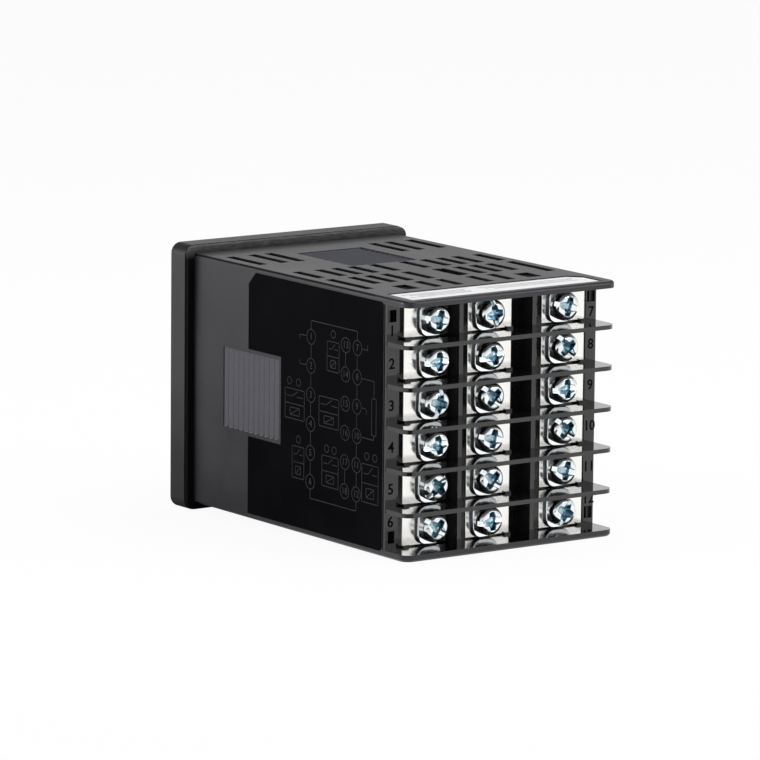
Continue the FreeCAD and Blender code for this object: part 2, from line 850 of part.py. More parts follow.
def make_display():
    """Display board with two digit modules, indicator lamps and the controller behind it."""
    board = new_subpart("display_board")
    outline = new_sketch(board, "XZ_Plane", "spigot_rear")
    square(outline, "display_board_side")
    pad(board, outline, "board_thick")
    for name, low, high in (
        ("digit_module_count", "count_low", "count_high"),
        ("digit_module_preset", "preset_low", "preset_high"),
    ):
        module = new_subpart(name)
        module_outline = new_sketch(module, "XZ_Plane", "digit_face")
        rectangle(module_outline, "digit_left", "digit_right", low, high)
        pad(module, module_outline, "spigot_rear - digit_face")
    lamps = new_subpart("indicator_lamps")
    lamp_outlines = new_sketch(lamps, "XZ_Plane", "digit_face")
    for index in range(LAMPS):
        circle(lamp_outlines, "lamp_column", "lamp_low + %d * lamp_pitch" % index, "lamp_radius")
    pad(lamps, lamp_outlines, "spigot_rear - digit_face")
    chip = new_subpart("controller_chip")
    chip_outline = new_sketch(chip, "XZ_Plane", BOARD_REAR)
    square(chip_outline, "chip_side", "chip_across", "chip_up")
    pad(chip, chip_outline, "chip_thick")


def make_boards():
    """Three upright boards, one behind each terminal column, and the headers at their front edges."""
    headers = new_subpart("board_headers")
    header_outlines = new_sketch(headers, "XZ_Plane", BOARD_REAR)
    for name in ("power_board", "output_board", "input_board"):
        side = name + "_side"
        board = new_subpart(name)
        outline = new_sketch(board, "YZ_Plane", side)
        rectangle(outline, "board_front", "board_rear", "-board_half", "board_half")
        pad(board, outline, "board_thick", backwards=True)
        rectangle(
            header_outlines,
            "%s - board_thick / 2 - header_wide / 2" % side,
            "%s - board_thick / 2 + header_wide / 2" % side,
            "-header_tall / 2",
            "header_tall / 2",
        )
    pad(headers, header_outlines, "board_front - " + BOARD_REAR)


def make_transformer():
    """Core of three legs and two yokes, with the winding round the middle leg."""
    core_mid = "(core_front + core_rear) / 2"
    window_half = "core_half - core_yoke"
    core = new_subpart("transformer_core")
    outline = new_sketch(core, "YZ_Plane", "core_inner")
    rectangle(outline, "core_front", "core_rear", "-core_half", "core_half")
    pad(core, outline, "core_outer - core_inner")
    windows = new_sketch(core, "YZ_Plane", "core_inner")
    leg_front = core_mid + " - core_middle_leg / 2"
    leg_rear = core_mid + " + core_middle_leg / 2"
    rectangle(windows, "core_front + core_leg", leg_front, "-(%s)" % window_half, window_half)
    rectangle(windows, leg_rear, "core_rear - core_leg", "-(%s)" % window_half, window_half)
    pocket(core, windows, "core_outer - core_inner")
    winding = new_subpart("transformer_winding")
    turns = new_sketch(winding, "XY_Plane")
    power_face = "power_board_side - board_thick"
    rectangle(turns, "winding_inner", power_face, "core_front + core_leg", "core_rear - core_leg")
    pad(winding, turns, "2 * (%s)" % window_half, symmetric=True)
    leg = new_sketch(winding, "XY_Plane")
    rectangle(leg, "core_inner", "core_outer", leg_front, leg_rear)
    pocket(winding, leg, symmetric=True)


def make_components():
    """Capacitors on the power board, relays on the output board and couplers on the input board."""
    capacitors = new_subpart("smoothing_capacitors")
    cans = new_sketch(capacitors, "YZ_Plane", "power_board_side - board_thick")
    for side in ("", "-"):
        circle(cans, "capacitor_along", side + "capacitor_up", "capacitor_radius")
    pad(capacitors, cans, "capacitor_long", backwards=True)
    relays = new_subpart("output_relays")
    relay_outlines = new_sketch(relays, "YZ_Plane", "output_board_side - board_thick")
    for side in ("", "-"):
        mid = side + "relay_up"
        rectangle(relay_outlines, "relay_front", "relay_rear", mid + " - relay_tall / 2", mid + " + relay_tall / 2")
    pad(relays, relay_outlines, "relay_wide", backwards=True)
    couplers = new_subpart("input_optocouplers")
    coupler_outlines = new_sketch(couplers, "YZ_Plane", "input_board_side")
    for index in range(COUPLERS):
        mid = "%g * coupler_pitch" % (index - (COUPLERS - 1) / 2)
        low = mid + " - coupler_tall / 2"
        rectangle(coupler_outlines, "coupler_front", "coupler_rear", low, mid + " + coupler_tall / 2")
    pad(couplers, coupler_outlines, "coupler_proud")


def write_subparts():
    """Checks every object and writes one file for each node."""
    doc.recompute()
    for item in doc.Objects:
        if "Invalid" in item.State or "Error" in item.State:
            raise RuntimeError("%s did not build: %s" % (item.Label, item.State))
    for item in subparts:
        if item.Shape.isNull() or not item.Shape.isValid() or not item.Shape.Solids:
            raise RuntimeError("%s has no valid shape" % item.Label)
    os.makedirs("parts", exist_ok=True)
    for item in subparts:
        item.Shape.exportStep(os.path.join("parts", item.Label + ".step"))
        print("%-22s %2d solids %9.1f mm3" % (item.Label, len(item.Shape.Solids), item.Shape.Volume))


make_bezel()
make_gasket()
make_lens()
for key_index in range(KEYS):
    make_key(key_index)
    make_plunger(key_index)
make_switches()
make_case()
make_strip_label()
make_side_label()
make_terminal_block()
make_terminals()
make_display()
make_boards()
make_transformer()
make_components()
write_subparts()
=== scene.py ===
# %% [markdown]
# # A panel-mounted digital counter, seen from its terminals
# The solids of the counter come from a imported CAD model, which is loaded as a fixed frame.
# This lesson dresses it: camera and studio first, then finishes, then the small pieces that
# give the rear its look, such as slotted screws, washers, numbers and print.
# Every length below is a real one, in millimetres, turned into metres where Blender needs it.

# %% Load the frame
import math

import bmesh
import bpy
from mathutils import Matrix, Vector


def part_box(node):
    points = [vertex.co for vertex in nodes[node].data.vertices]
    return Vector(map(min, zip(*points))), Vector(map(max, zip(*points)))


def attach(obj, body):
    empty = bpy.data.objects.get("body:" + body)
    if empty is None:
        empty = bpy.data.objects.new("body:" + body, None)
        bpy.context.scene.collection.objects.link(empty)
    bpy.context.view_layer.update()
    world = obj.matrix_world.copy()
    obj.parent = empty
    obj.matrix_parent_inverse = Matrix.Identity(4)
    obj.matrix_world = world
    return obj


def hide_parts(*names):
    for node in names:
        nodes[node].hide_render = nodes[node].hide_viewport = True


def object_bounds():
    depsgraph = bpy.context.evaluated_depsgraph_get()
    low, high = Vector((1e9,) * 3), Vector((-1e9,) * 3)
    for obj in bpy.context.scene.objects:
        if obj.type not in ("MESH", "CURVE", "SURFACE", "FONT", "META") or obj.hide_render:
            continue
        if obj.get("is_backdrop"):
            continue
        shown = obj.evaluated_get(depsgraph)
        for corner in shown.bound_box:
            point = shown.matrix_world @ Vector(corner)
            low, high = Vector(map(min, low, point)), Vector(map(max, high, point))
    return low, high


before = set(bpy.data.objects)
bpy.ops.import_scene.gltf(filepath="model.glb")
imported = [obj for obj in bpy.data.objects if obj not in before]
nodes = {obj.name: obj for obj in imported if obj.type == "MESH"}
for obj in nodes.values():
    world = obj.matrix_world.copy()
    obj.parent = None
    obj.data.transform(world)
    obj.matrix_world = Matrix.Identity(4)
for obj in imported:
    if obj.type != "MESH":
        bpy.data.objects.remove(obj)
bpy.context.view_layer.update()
MM = 0.001
HOUSING = "housing"

# %% [markdown]
# ## Camera
# The photograph was taken from behind and to the right with a long lens, a little above the top
# face. A camera could be aimed by eye, but its place was worked out from the corners of the case,
# so it is written here as angles about a point near the object's middle.

# %% Camera at the photograph's angle
AZIMUTH = math.radians(144.48)
ELEVATION = math.radians(9.79)
ROLL = math.radians(0.555)
AIM = Vector((3.13, 42.73, 2.97)) * MM
DISTANCE = 1554.6 * MM
FOCAL_IN_PICTURE_WIDTHS = 7.722
SENSOR_WIDTH = 36.0


def camera_axes():
    """The camera's right, up and backward directions."""
    level = math.cos(ELEVATION)
    back = Vector((math.sin(AZIMUTH) * level, -math.cos(AZIMUTH) * level, math.sin(ELEVATION)))
    right = Matrix.Rotation(ROLL, 3, back) @ Vector((0, 0, 1)).cross(back).normalized()
    return right, back.cross(right), back


lens = bpy.data.cameras.new("photo_camera")
lens.sensor_width = SENSOR_WIDTH
lens.lens = FOCAL_IN_PICTURE_WIDTHS * SENSOR_WIDTH
lens.clip_start = 0.05
lens.clip_end = 30.0
camera = bpy.data.objects.new("photo_camera", lens)
bpy.context.scene.collection.objects.link(camera)
right_axis, up_axis, back_axis = camera_axes()
camera.matrix_world = Matrix((right_axis, up_axis, back_axis)).transposed().to_4x4()
camera.location = AIM + DISTANCE * back_axis
bpy.context.scene.camera = camera
print("camera %.0f mm away, %.0f mm lens" % (DISTANCE / MM, lens.lens))

# %% [markdown]
# ## Small helpers for nodes and meshes
# Shader trees and meshes are made by short calls, so that each finish below reads as a recipe.
# A node's input is set by its name or number: a value or colour is written into it, and a socket
# is linked to it. A socket knows the tree that it is in, so most helpers find the tree from it.

# %% Node helpers
def add_node(tree, kind, inputs=None, **properties):
    node = tree.nodes.new("ShaderNode" + kind)
    for name, value in properties.items():
        setattr(node, name, value)
    for name, value in (inputs or {}).items():
        if isinstance(value, bpy.types.NodeSocket):
            tree.links.new(value, node.inputs[name])
        else:
            node.inputs[name].default_value = value
    return node


def join(socket, node, label):
    """Links a socket to an input of a node."""
    socket.id_data.links.new(socket, node.inputs[label])


def math_node(operation, first, second):
    inputs = {0: first, 1: second}
    return add_node(first.id_data, "Math", inputs, operation=operation).outputs[0]


def remap(value, low, high, to_low=0.0, to_high=1.0):
    """Maps a range of values to another one and holds it inside."""
    inputs = {"Value": value, "From Min": low, "From Max": high, "To Min": to_low, "To Max": to_high}
    return add_node(value.id_data, "MapRange", inputs).outputs["Result"]


def axes_of(vector):
    return add_node(vector.id_data, "SeparateXYZ", {"Vector": vector}).outputs


def mix_shaders(share, first, second):
    return add_node(share.id_data, "MixShader", {0: share, 1: first, 2: second}).outputs[0]


def bare_tree(owner):
    """The emptied node tree of a material or a world."""
    owner.use_nodes = True
    owner.node_tree.nodes.clear()
    return owner.node_tree


def grey(level):
    return (level, level, level, 1.0)


print("node helpers ready")


# %% Mesh helpers
def new_object(name, mesh):
    piece = bpy.data.objects.new(name, mesh)
    bpy.context.scene.collection.objects.link(piece)
    return piece


def mesh_from(bm, name):
    mesh = bpy.data.meshes.new(name)
    bm.to_mesh(mesh)
    bm.free()
    return mesh


def shaped_mesh(source):
    """A mesh of an object as it looks with its modifiers, or as it looks as text."""
    bpy.context.view_layer.update()
    return bpy.data.meshes.new_from_object(source.evaluated_get(bpy.context.evaluated_depsgraph_get()))


def verts_in(geometry):
    return [item for item in geometry if isinstance(item, bmesh.types.BMVert)]


def move(bm, verts, *distance):
    """Moves points by a distance in millimetres."""
    bmesh.ops.translate(bm, verts=verts, vec=[length * MM for length in distance])


def bevel(bm, geometry, offset, segments, affect="EDGES"):
    """Rounds edges or corners by an offset in millimetres and returns the new faces."""
    made = bmesh.ops.bevel(
        bm,
        geom=geometry,
        offset=offset * MM,
        offset_type="OFFSET",
        segments=segments,
        profile=0.5,
        affect=affect,
        material=-1,
    )
    return made["faces"]


print("mesh helpers ready")

# %% [markdown]
# ## Studio
# The counter stands on a pale floor, on the lower edge of its bezel and of its rear flange, which
# are not at the same height, so the floor leans by a degree to touch both.
# Rays from the camera see the floor and the sky as white. Glossy surfaces see a white floor and
# horizon under a dark ceiling, as in a studio, because plated metal only looks like metal when it
# has something dark to mirror. All other rays see an ordinary floor under a soft sky.

# %% Floor
FLOOR_SIZE = 4.0
FLOOR_PAINT = 0.86
FLOOR_WHITE_SHARE = 0.93
bezel_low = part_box("bezel")[0]
bezel_rear_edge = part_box("panel_gasket")[0].y
case_low, case_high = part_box("case")
floor_lean = math.atan2(case_low.z - bezel_low.z, case_high.y - bezel_rear_edge)


def floor_finish():
    """White for rays that come from the camera, a mirror or glass, and painted for the others."""
    material = bpy.data.materials.new("studio_floor")
    tree = bare_tree(material)
    path = add_node(tree, "LightPath").outputs
    shiny = math_node("MAXIMUM", path["Is Glossy Ray"], path["Is Transmission Ray"])
    seen = math_node("MAXIMUM", path["Is Camera Ray"], shiny)
    share = math_node("MULTIPLY", seen, FLOOR_WHITE_SHARE)
    paint = add_node(tree, "BsdfDiffuse", {"Color": grey(FLOOR_PAINT)}).outputs[0]
    white = add_node(tree, "Emission", {"Color": grey(1.0), "Strength": 1.0}).outputs[0]
    add_node(tree, "OutputMaterial", {"Surface": mix_shaders(share, paint, white)})
    return material


def lay_on_floor(bm, lift=0.0):
    """Leans a flat mesh as the floor leans and lowers it to where the bezel stands."""
    bmesh.ops.rotate(bm, verts=bm.verts, matrix=Matrix.Rotation(floor_lean, 3, "X"))
    bmesh.ops.translate(bm, verts=bm.verts, vec=(0, bezel_rear_edge, bezel_low.z + lift))


floor_bm = bmesh.new()
bmesh.ops.create_grid(floor_bm, x_segments=1, y_segments=1, size=FLOOR_SIZE)
lay_on_floor(floor_bm)
floor = new_object("studio_floor", mesh_from(floor_bm, "studio_floor"))
floor.data.materials.append(floor_finish())
floor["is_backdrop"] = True
print("floor leans %.2f degrees" % math.degrees(floor_lean))

# %% World
SKY_BRIGHT = 0.75
SKY_DIM = 0.12
SKY_SIDE = (-0.45, 0.62, 0.64)
HORIZON = 0.78
CEILING = 0.10
HORIZON_TOP = 0.20
CEILING_FROM = 0.42


def background(tree, strength):
    return add_node(tree, "Background", {"Color": grey(1.0), "Strength": strength}).outputs[0]


def studio_sky():
    """White for the camera, a bright horizon for glossy rays, a soft sky from one side for the rest."""
    world = bpy.data.worlds.new("studio_sky")
    tree = bare_tree(world)
    path = add_node(tree, "LightPath").outputs
    direction = add_node(tree, "TexCoord").outputs["Generated"]
    pair = {0: direction, 1: SKY_SIDE}
    towards = add_node(tree, "VectorMath", pair, operation="DOT_PRODUCT").outputs["Value"]
    soft = background(tree, remap(towards, -1.0, 1.0, SKY_DIM, SKY_BRIGHT))
    height = axes_of(direction)["Z"]
    room = background(tree, remap(height, HORIZON_TOP, CEILING_FROM, HORIZON, CEILING))
    indirect = mix_shaders(path["Is Glossy Ray"], soft, room)
    straight = math_node("MAXIMUM", path["Is Camera Ray"], path["Is Transmission Ray"])
    seen = mix_shaders(straight, indirect, background(tree, 1.0))
    add_node(tree, "OutputWorld", {"Surface": seen})
    return world


bpy.context.scene.world = studio_sky()
bpy.context.scene.view_settings.view_transform = "Standard"
print("sky from %.2f to %.2f" % (SKY_DIM, SKY_BRIGHT))

# %% Lamps
# Each softbox: its name, its place, its width and height, and its power.
SOFTBOXES = (
    ("top_softbox", (-0.15, 0.10, 0.95), 0.9, 0.6, 4.5),
    ("rear_softbox", (-0.55, 0.75, 0.45), 0.5, 0.5, 2.6),
    ("side_softbox", (0.75, -0.37, 0.17), 0.34, 0.34, 3.0),
)


def softbox(name, place, width, height, watts):
    """A rectangular lamp that points at the middle of the object."""
    light = bpy.data.lights.new(name, "AREA")
    light.shape = "RECTANGLE"
    light.size = width
    light.size_y = height
    light.energy = watts
    lamp = bpy.data.objects.new(name, light)
    lamp.location = place
    lamp.rotation_mode = "QUATERNION"
    lamp.rotation_quaternion = (AIM - Vector(place)).to_track_quat("-Z", "Y")
    bpy.context.scene.collection.objects.link(lamp)


for values in SOFTBOXES:
    softbox(*values)
print("softboxes:", len(SOFTBOXES))

# %% [markdown]
# Two dark mats lie on the floor, and only glossy rays see them. A grey one lies where the flat right
# wall mirrors the floor, so the wall and its label stay dark; the teeth of the ratchet pad lean to
# the rear and mirror the white floor next to it instead, so the pad looks paler than the wall.
# A black one lies towards the camera, as a photographer's own dark corner would, and gives the
# screws a dark side that the tinned plates mirror. Each mat is a grid with a value at its points,
# 1 inside and 0 at the border, and fades out with it, so no hard edge shows in a reflection.

# %% Dark mats
MAT_LIFT = 0.0004
MAT_CELLS = 6
SHADE = "shade"
# Each mat: its name, its four corners from above in metres, and its grey.
MATS = (
    ("wall_mat", ((0.046, 0.112), (0.345, -0.310), (0.075, -0.500), (-0.210, -0.071)), 0.22),
    ("camera_mat", ((0.0, 0.090), (0.07, 0.080), (0.52, 0.46), (0.20, 0.66)), 0.01),
)


def mat_finish(name, level):
    material = bpy.data.materials.new(name)
    tree = bare_tree(material)
    shade = add_node(tree, "Attribute", attribute_name=SHADE).outputs["Fac"]
    clear = add_node(tree, "BsdfTransparent").outputs[0]
    cloth = add_node(tree, "BsdfDiffuse", {"Color": grey(level)}).outputs[0]
    add_node(tree, "OutputMaterial", {"Surface": mix_shaders(shade, clear, cloth)})
    return material


def floor_mat(name, corners, level):
    """A mat between four corners on the floor that only glossy rays see."""
    first, second, third, fourth = [Vector((across, along, 0)) for across, along in corners]
    bm = bmesh.new()
    shade = bm.verts.layers.float.new(SHADE)
    bmesh.ops.create_grid(bm, x_segments=MAT_CELLS, y_segments=MAT_CELLS, size=0.5)
    inner = 0.5 - 0.5 / MAT_CELLS
    for vert in bm.verts:
        vert[shade] = 1.0 if max(abs(vert.co.x), abs(vert.co.y)) < inner else 0.0
        along = vert.co.x + 0.5
        vert.co = first.lerp(second, along).lerp(fourth.lerp(third, along), vert.co.y + 0.5)
    lay_on_floor(bm, MAT_LIFT)
    mat = new_object(name, mesh_from(bm, name))
    mat.data.materials.append(mat_finish(name, level))
    mat.visible_camera = False
    mat.visible_diffuse = False
    mat.visible_shadow = False
    mat.visible_transmission = False
    mat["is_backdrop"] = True


for values in MATS:
    floor_mat(*values)
print("mats on the floor:", len(MATS))

# %% [markdown]
# ## Skins from node groups
# No real surface has one flat colour. Each family of finishes here, moulded plastic, plated metal
# and printed film, is a node group, so its recipe is built once and each material gives it two
# colours, a scale and two values of roughness. A recipe makes three masks: where the second colour
# shows, where the surface is rough, and the height of its grain. The group puts out a colour, a
# roughness and a height only; the shader itself stays in the material.

# %% Helpers for skins
SKIN_INPUTS = (
    ("Vector", "Vector"),
    ("First", "Color"),
    ("Second", "Color"),
    ("Scale", "Float"),
    ("Smooth", "Float"),
    ("Rough", "Float"),
)
LOOKS = (("Color", "Color"), ("Roughness", "Float"))
SKIN_OUTPUTS = LOOKS + (("Height", "Float"),)


def new_group(name, inputs, outputs):
    """An empty node group with named sockets; returns it with its inputs and its output node."""
    tree = bpy.data.node_groups.new(name, "ShaderNodeTree")
    for in_out, sockets in (("INPUT", inputs), ("OUTPUT", outputs)):
        for label, kind in sockets:
            tree.interface.new_socket(label, in_out=in_out, socket_type="NodeSocket" + kind)
    return tree, tree.nodes.new("NodeGroupInput").outputs, tree.nodes.new("NodeGroupOutput")


def noise(vector, scale, detail=2.0, roughness=0.5):
    inputs = {"Vector": vector, "Scale": scale, "Detail": detail, "Roughness": roughness}
    return add_node(vector.id_data, "TexNoise", inputs).outputs["Fac"]


def voronoi(vector, scale, **properties):
    """The distance to the middle of the nearest cell."""
    inputs = {"Vector": vector, "Scale": scale}
    return add_node(vector.id_data, "TexVoronoi", inputs, **properties).outputs["Distance"]


def stretched(vector, scale):
    return add_node(vector.id_data, "Mapping", {"Vector": vector, "Scale": scale}).outputs[0]


def blend_colors(share, first, second):
    inputs = {0: share, 6: first, 7: second}
    return add_node(share.id_data, "Mix", inputs, data_type="RGBA").outputs[2]


def skin_group(name, recipe):
    """A node group that blends two colours and two roughnesses by the masks of a recipe."""
    tree, given, result = new_group(name, SKIN_INPUTS, SKIN_OUTPUTS)
    stain, dullness, height = recipe(given["Vector"], given["Scale"])
    color = blend_colors(stain, given["First"], given["Second"])
    spread = math_node("SUBTRACT", given["Rough"], given["Smooth"])
    rough = math_node("ADD", given["Smooth"], math_node("MULTIPLY", spread, dullness))
    for label, socket in (("Color", color), ("Roughness", rough), ("Height", height)):
        join(socket, result, label)
    return tree


print("a skin takes", len(SKIN_INPUTS), "inputs")


# %% Helpers for materials
def new_material(name):
    material = bpy.data.materials.new(name)
    material.use_nodes = True
    return material


def parts(material):
    """A material's Principled shader and the piece's own coordinates."""
    tree = material.node_tree
    place = add_node(tree, "TexCoord").outputs["Object"]
    return tree.nodes["Principled BSDF"], place


def bump(shader, height, depth_mm):
    inputs = {"Height": height, "Strength": 1.0, "Distance": depth_mm * MM}
    join(add_node(height.id_data, "Bump", inputs).outputs["Normal"], shader, "Normal")


def use_group(group, shader, inputs):
    """Lets a node group give a shader's colour and roughness; returns what the group puts out."""
    made = add_node(shader.id_data, "Group", inputs, node_tree=group).outputs
    join(made["Color"], shader, "Base Color")
    join(made["Roughness"], shader, "Roughness")
    return made


def skinned(name, group, first, second, smooth, rough, scale_mm, depth_mm, **constants):
    """A material whose colour, roughness and grain come from a group; constants go to its shader."""
    material = new_material(name)
    shader, place = parts(material)
    inputs = {"Vector": place, "First": first, "Second": second, "Scale": 1 / (scale_mm * MM)}
    inputs.update(Smooth=smooth, Rough=rough)
    bump(shader, use_group(group, shader, inputs)["Height"], depth_mm)
    for label, value in constants.items():
        shader.inputs[label].default_value = value
    return material


print("material helpers ready")

# %% [markdown]
# ## Moulded plastic
# Case, bezel, keys and block are injection moulded. The steel mould leaves a fine grain on them,
# handling leaves patches that are paler and duller, and a few specks of dust settle. Photographs of
# plastic could be laid on, but noise has no seams and keeps its scale on every piece.

# %% Group and materials of moulded plastic and rubber
PATCH_SCALE = 0.015
SPECK_SCALE = 0.12
# Black painted as shade: inside the vents, in the frames round them and on the flanges' inner faces.
PAINTED_SHADE_BLACK = (0.002, 0.002, 0.0025, 1)


def moulded_recipe(place, scale):
    grain = noise(place, scale, 2.0, 0.6)
    patches = noise(place, math_node("MULTIPLY", scale, PATCH_SCALE), 4.0, 0.55)
    to_middle = voronoi(place, math_node("MULTIPLY", scale, SPECK_SCALE))
    specks = remap(to_middle, 0.03, 0.09, 1.0, 0.0)
    thinned = math_node("MULTIPLY", specks, remap(patches, 0.52, 0.62, 0.0, 0.5))
    worn = math_node("MAXIMUM", remap(patches, 0.38, 0.66, 0.0, 0.6), thinned)
    return worn, remap(patches, 0.35, 0.65), grain


MOULDED_SKIN = skin_group("moulded_skin", moulded_recipe)


def moulded(name, base, worn, smooth, rough, grain_mm=0.35, depth_mm=0.012, gloss=0.5):
    values = (base, worn, smooth, rough, grain_mm, depth_mm)
    return skinned(name, MOULDED_SKIN, *values, **{"Specular IOR Level": gloss})


bezel_plastic = moulded("bezel_plastic", (0.016, 0.016, 0.018, 1), (0.025, 0.026, 0.028, 1), 0.30, 0.42)
case_plastic = moulded(
    "case_plastic", (0.017, 0.0175, 0.022, 1), (0.026, 0.0265, 0.033, 1), 0.30, 0.40, depth_mm=0.02
)
block_plastic = moulded(
    "block_plastic", (0.008, 0.008, 0.009, 1), (0.013, 0.013, 0.014, 1), 0.06, 0.13, 0.8, 0.003, 0.25
)
# Near-black, darker than rubber, as painted shade on the gasket's sides; its top is painted lighter below.
gasket_rubber = moulded(
    "gasket_rubber", (0.002, 0.002, 0.002, 1), (0.004, 0.004, 0.004, 1), 0.70, 0.85, 0.25, gloss=0.08
)
# Dull black for the frames of painted shade round the vents.
vent_shade_black = moulded("vent_shade_black", PAINTED_SHADE_BLACK, (0.004, 0.004, 0.005, 1), 0.75, 0.90, gloss=0.0)
key_plastic = moulded("key_plastic", (0.16, 0.17, 0.19, 1), (0.22, 0.23, 0.25, 1), 0.36, 0.50, 0.25)
switch_plastic = moulded("switch_plastic", (0.03, 0.03, 0.033, 1), (0.05, 0.05, 0.055, 1), 0.40, 0.55)
chip_plastic = moulded("chip_plastic", (0.022, 0.022, 0.024, 1), (0.04, 0.04, 0.042, 1), 0.45, 0.6, 0.15)
relay_plastic = moulded("relay_plastic", (0.03, 0.10, 0.30, 1), (0.05, 0.14, 0.36, 1), 0.25, 0.38)
digit_plastic = moulded("digit_plastic", (0.03, 0.03, 0.032, 1), (0.045, 0.045, 0.047, 1), 0.30, 0.42)
print("materials of moulded plastic:", MOULDED_SKIN.users)

# %% [markdown]
# ## Vents and ratchet pads of the case
# One moulding can have more than one finish. The walls inside the vents are painted black as shade.
# The teeth of the four pads are smoother than the walls and painted paler as a sheen, with painted
# shade in their roots. Separate materials would need the mesh to be cut up, so the case's own
# material asks where a point lies and changes its colour and roughness there.

# %% Vents painted black as shade
BODY_HALF = 33.8
SKIN = 0.04
VENTS_TO = 83.0


def so_far(shader, label):
    return shader.inputs[label].links[0].from_socket


def recolor(shader, share, color):
    """Blends a colour over the one that a shader has so far."""
    join(blend_colors(share, so_far(shader, "Base Color"), color), shader, "Base Color")


def roughen(shader, share, change):
    """Adds a share of a change to the roughness that a shader has so far."""
    part = math_node("MULTIPLY", share, change)
    join(math_node("ADD", so_far(shader, "Roughness"), part), shader, "Roughness")


def inside(value, middle, half):
    """1 where a coordinate is within half of the middle, in millimetres, and 0 elsewhere."""
    inputs = {0: value, 1: middle * MM, 2: half * MM}
    return add_node(value.id_data, "Math", inputs, operation="COMPARE").outputs[0]


def paint_vent_shade(material):
    shader, place = parts(material)
    axes = axes_of(place)
    under_skin = [inside(axes[name], 0, BODY_HALF - SKIN) for name in ("X", "Z")]
    before_block = math_node("LESS_THAN", axes["Y"], VENTS_TO * MM)
    within = math_node("MULTIPLY", before_block, math_node("MULTIPLY", *under_skin))
    # The walls inside the vents are painted black as shade.
    recolor(shader, within, PAINTED_SHADE_BLACK)


paint_vent_shade(case_plastic)
print("vents are black up to %.1f mm" % VENTS_TO)

# %% Ratchet pads
PAD_FROM = 14.0
PAD_TO = 40.2
PAD_HALF = 10.7
PAD_TEETH = 11
# The pads are painted paler than the wall as a sheen, and darker in their roots as painted shade.
PAD_PAINTED_SHEEN = (0.060, 0.060, 0.076, 1)
PAD_ROOT_PAINTED_SHADE = (0.024, 0.024, 0.031, 1)
PAD_POLISH = -0.15
ROOT_DULL = 0.2
# The shares of a tooth's length where its root begins and where it is full.
ROOT = (0.42, 0.66)


def polish_pads_with_painted_light(material):
    shader, place = parts(material)
    axes = axes_of(place)
    along = inside(axes["Y"], (PAD_FROM + PAD_TO) / 2, (PAD_TO - PAD_FROM) / 2)
    across = [inside(axes[name], 0, PAD_HALF) for name in ("X", "Z")]
    pad = math_node("MULTIPLY", along, math_node("MAXIMUM", *across))
    pitch = (PAD_TO - PAD_FROM) / PAD_TEETH * MM
    tooth = math_node("DIVIDE", math_node("SUBTRACT", axes["Y"], PAD_FROM * MM), pitch)
    into_tooth = math_node("FRACT", tooth, 0.0)
    # Painted shade in the roots of the teeth.
    root_shade = remap(into_tooth, *ROOT)
    roughen(shader, pad, remap(into_tooth, *ROOT, PAD_POLISH, ROOT_DULL))
    # The pad's colour is a painted sheen, with painted shade in the roots.
    recolor(shader, pad, blend_colors(root_shade, PAD_PAINTED_SHEEN, PAD_ROOT_PAINTED_SHADE))


polish_pads_with_painted_light(case_plastic)
print("pads have %d teeth" % PAD_TEETH)

# %% [markdown]
# ## Gloss round the terminals
# The fins of the block and the inner faces of the case's two rear flanges come from polished steel
# and mirror the plates between them. The block's inside, its ribs and the bottoms of its pockets
# are as dull as they are cast. A coat with a mask makes the mirror, because a coat has a gloss of
# its own over that of the plastic.

# %% Polished and dull faces
COAT_ROUGHNESS = 0.05
FLANGE_FROM = 87.3
FLANGE_TO = 97.45
FLANGE_INSIDE = 32.05
FLANGE_POLISH = -0.24
POLISHED_FROM = 86.7
RIBS = (12.8, -10.6)
RIB_HALF = 0.65
RIB_REAR = 91.95
CAST_DULL = 0.5


def coat(shader, mask):
    join(mask, shader, "Coat Weight")
    shader.inputs["Coat Roughness"].default_value = COAT_ROUGHNESS


def polish_flanges_over_painted_shade(material):
    shader, place = parts(material)
    axes = axes_of(place)
    behind = math_node("GREATER_THAN", axes["Y"], FLANGE_FROM * MM)
    before_rim = math_node("LESS_THAN", axes["Y"], FLANGE_TO * MM)
    facing_in = inside(axes["Z"], 0, FLANGE_INSIDE)
    glossy = math_node("MULTIPLY", facing_in, math_node("MULTIPLY", behind, before_rim))
    coat(shader, glossy)
    roughen(shader, glossy, FLANGE_POLISH)
    # Under the coat the inner faces are painted black, as shade.
    recolor(shader, glossy, PAINTED_SHADE_BLACK)


def dull_inside(material):
    shader, place = parts(material)
    axes = axes_of(place)
    deep = math_node("LESS_THAN", axes["Y"], POLISHED_FROM * MM)
    below_edge = math_node("LESS_THAN", axes["Y"], RIB_REAR * MM)
    at_ribs = [inside(axes["X"], rib, RIB_HALF) for rib in RIBS]
    on_rib = math_node("MULTIPLY", below_edge, math_node("MAXIMUM", *at_ribs))
    dull = math_node("MAXIMUM", deep, on_rib)
    roughen(shader, dull, CAST_DULL)
    coat(shader, remap(dull, 0.0, 1.0, 1.0, 0.0))


polish_flanges_over_painted_shade(case_plastic)
dull_inside(block_plastic)
print("the block is polished behind %.1f mm" % POLISHED_FROM)

# %% [markdown]
# ## Dust and painted sheen on the upper faces
# The upper faces are made greyer and duller: partly dust, partly a painted sheen that makes up for the
# gloss that the added roughness takes away, so black plastic looks grey at a flat angle. On the case the
# grey is thinner over a length behind the bezel, as painted shade; on the rubber it lies in streaks and
# is painted light on its top. Three materials have it, so it is a node group: it takes the colour and
# roughness so far and puts out greyer and duller ones, by the height of a point. A layer of its own
# could lie on top, but this costs no geometry.

# %% Dust and painted sheen
DUST_AND_SHEEN_GRAIN = 2600.0
DUST_AND_SHEEN_COLORS = (("Color", "Color"), ("DustAndSheen", "Color"))
DUST_AND_SHEEN_VALUES = ("Roughness", "Low", "High", "Streak", "Thinnest", "Dull", "Shelter", "Sheltered")
DUST_AND_SHEEN_INPUTS = (("Vector", "Vector"),) + DUST_AND_SHEEN_COLORS + tuple((label, "Float") for label in DUST_AND_SHEEN_VALUES)


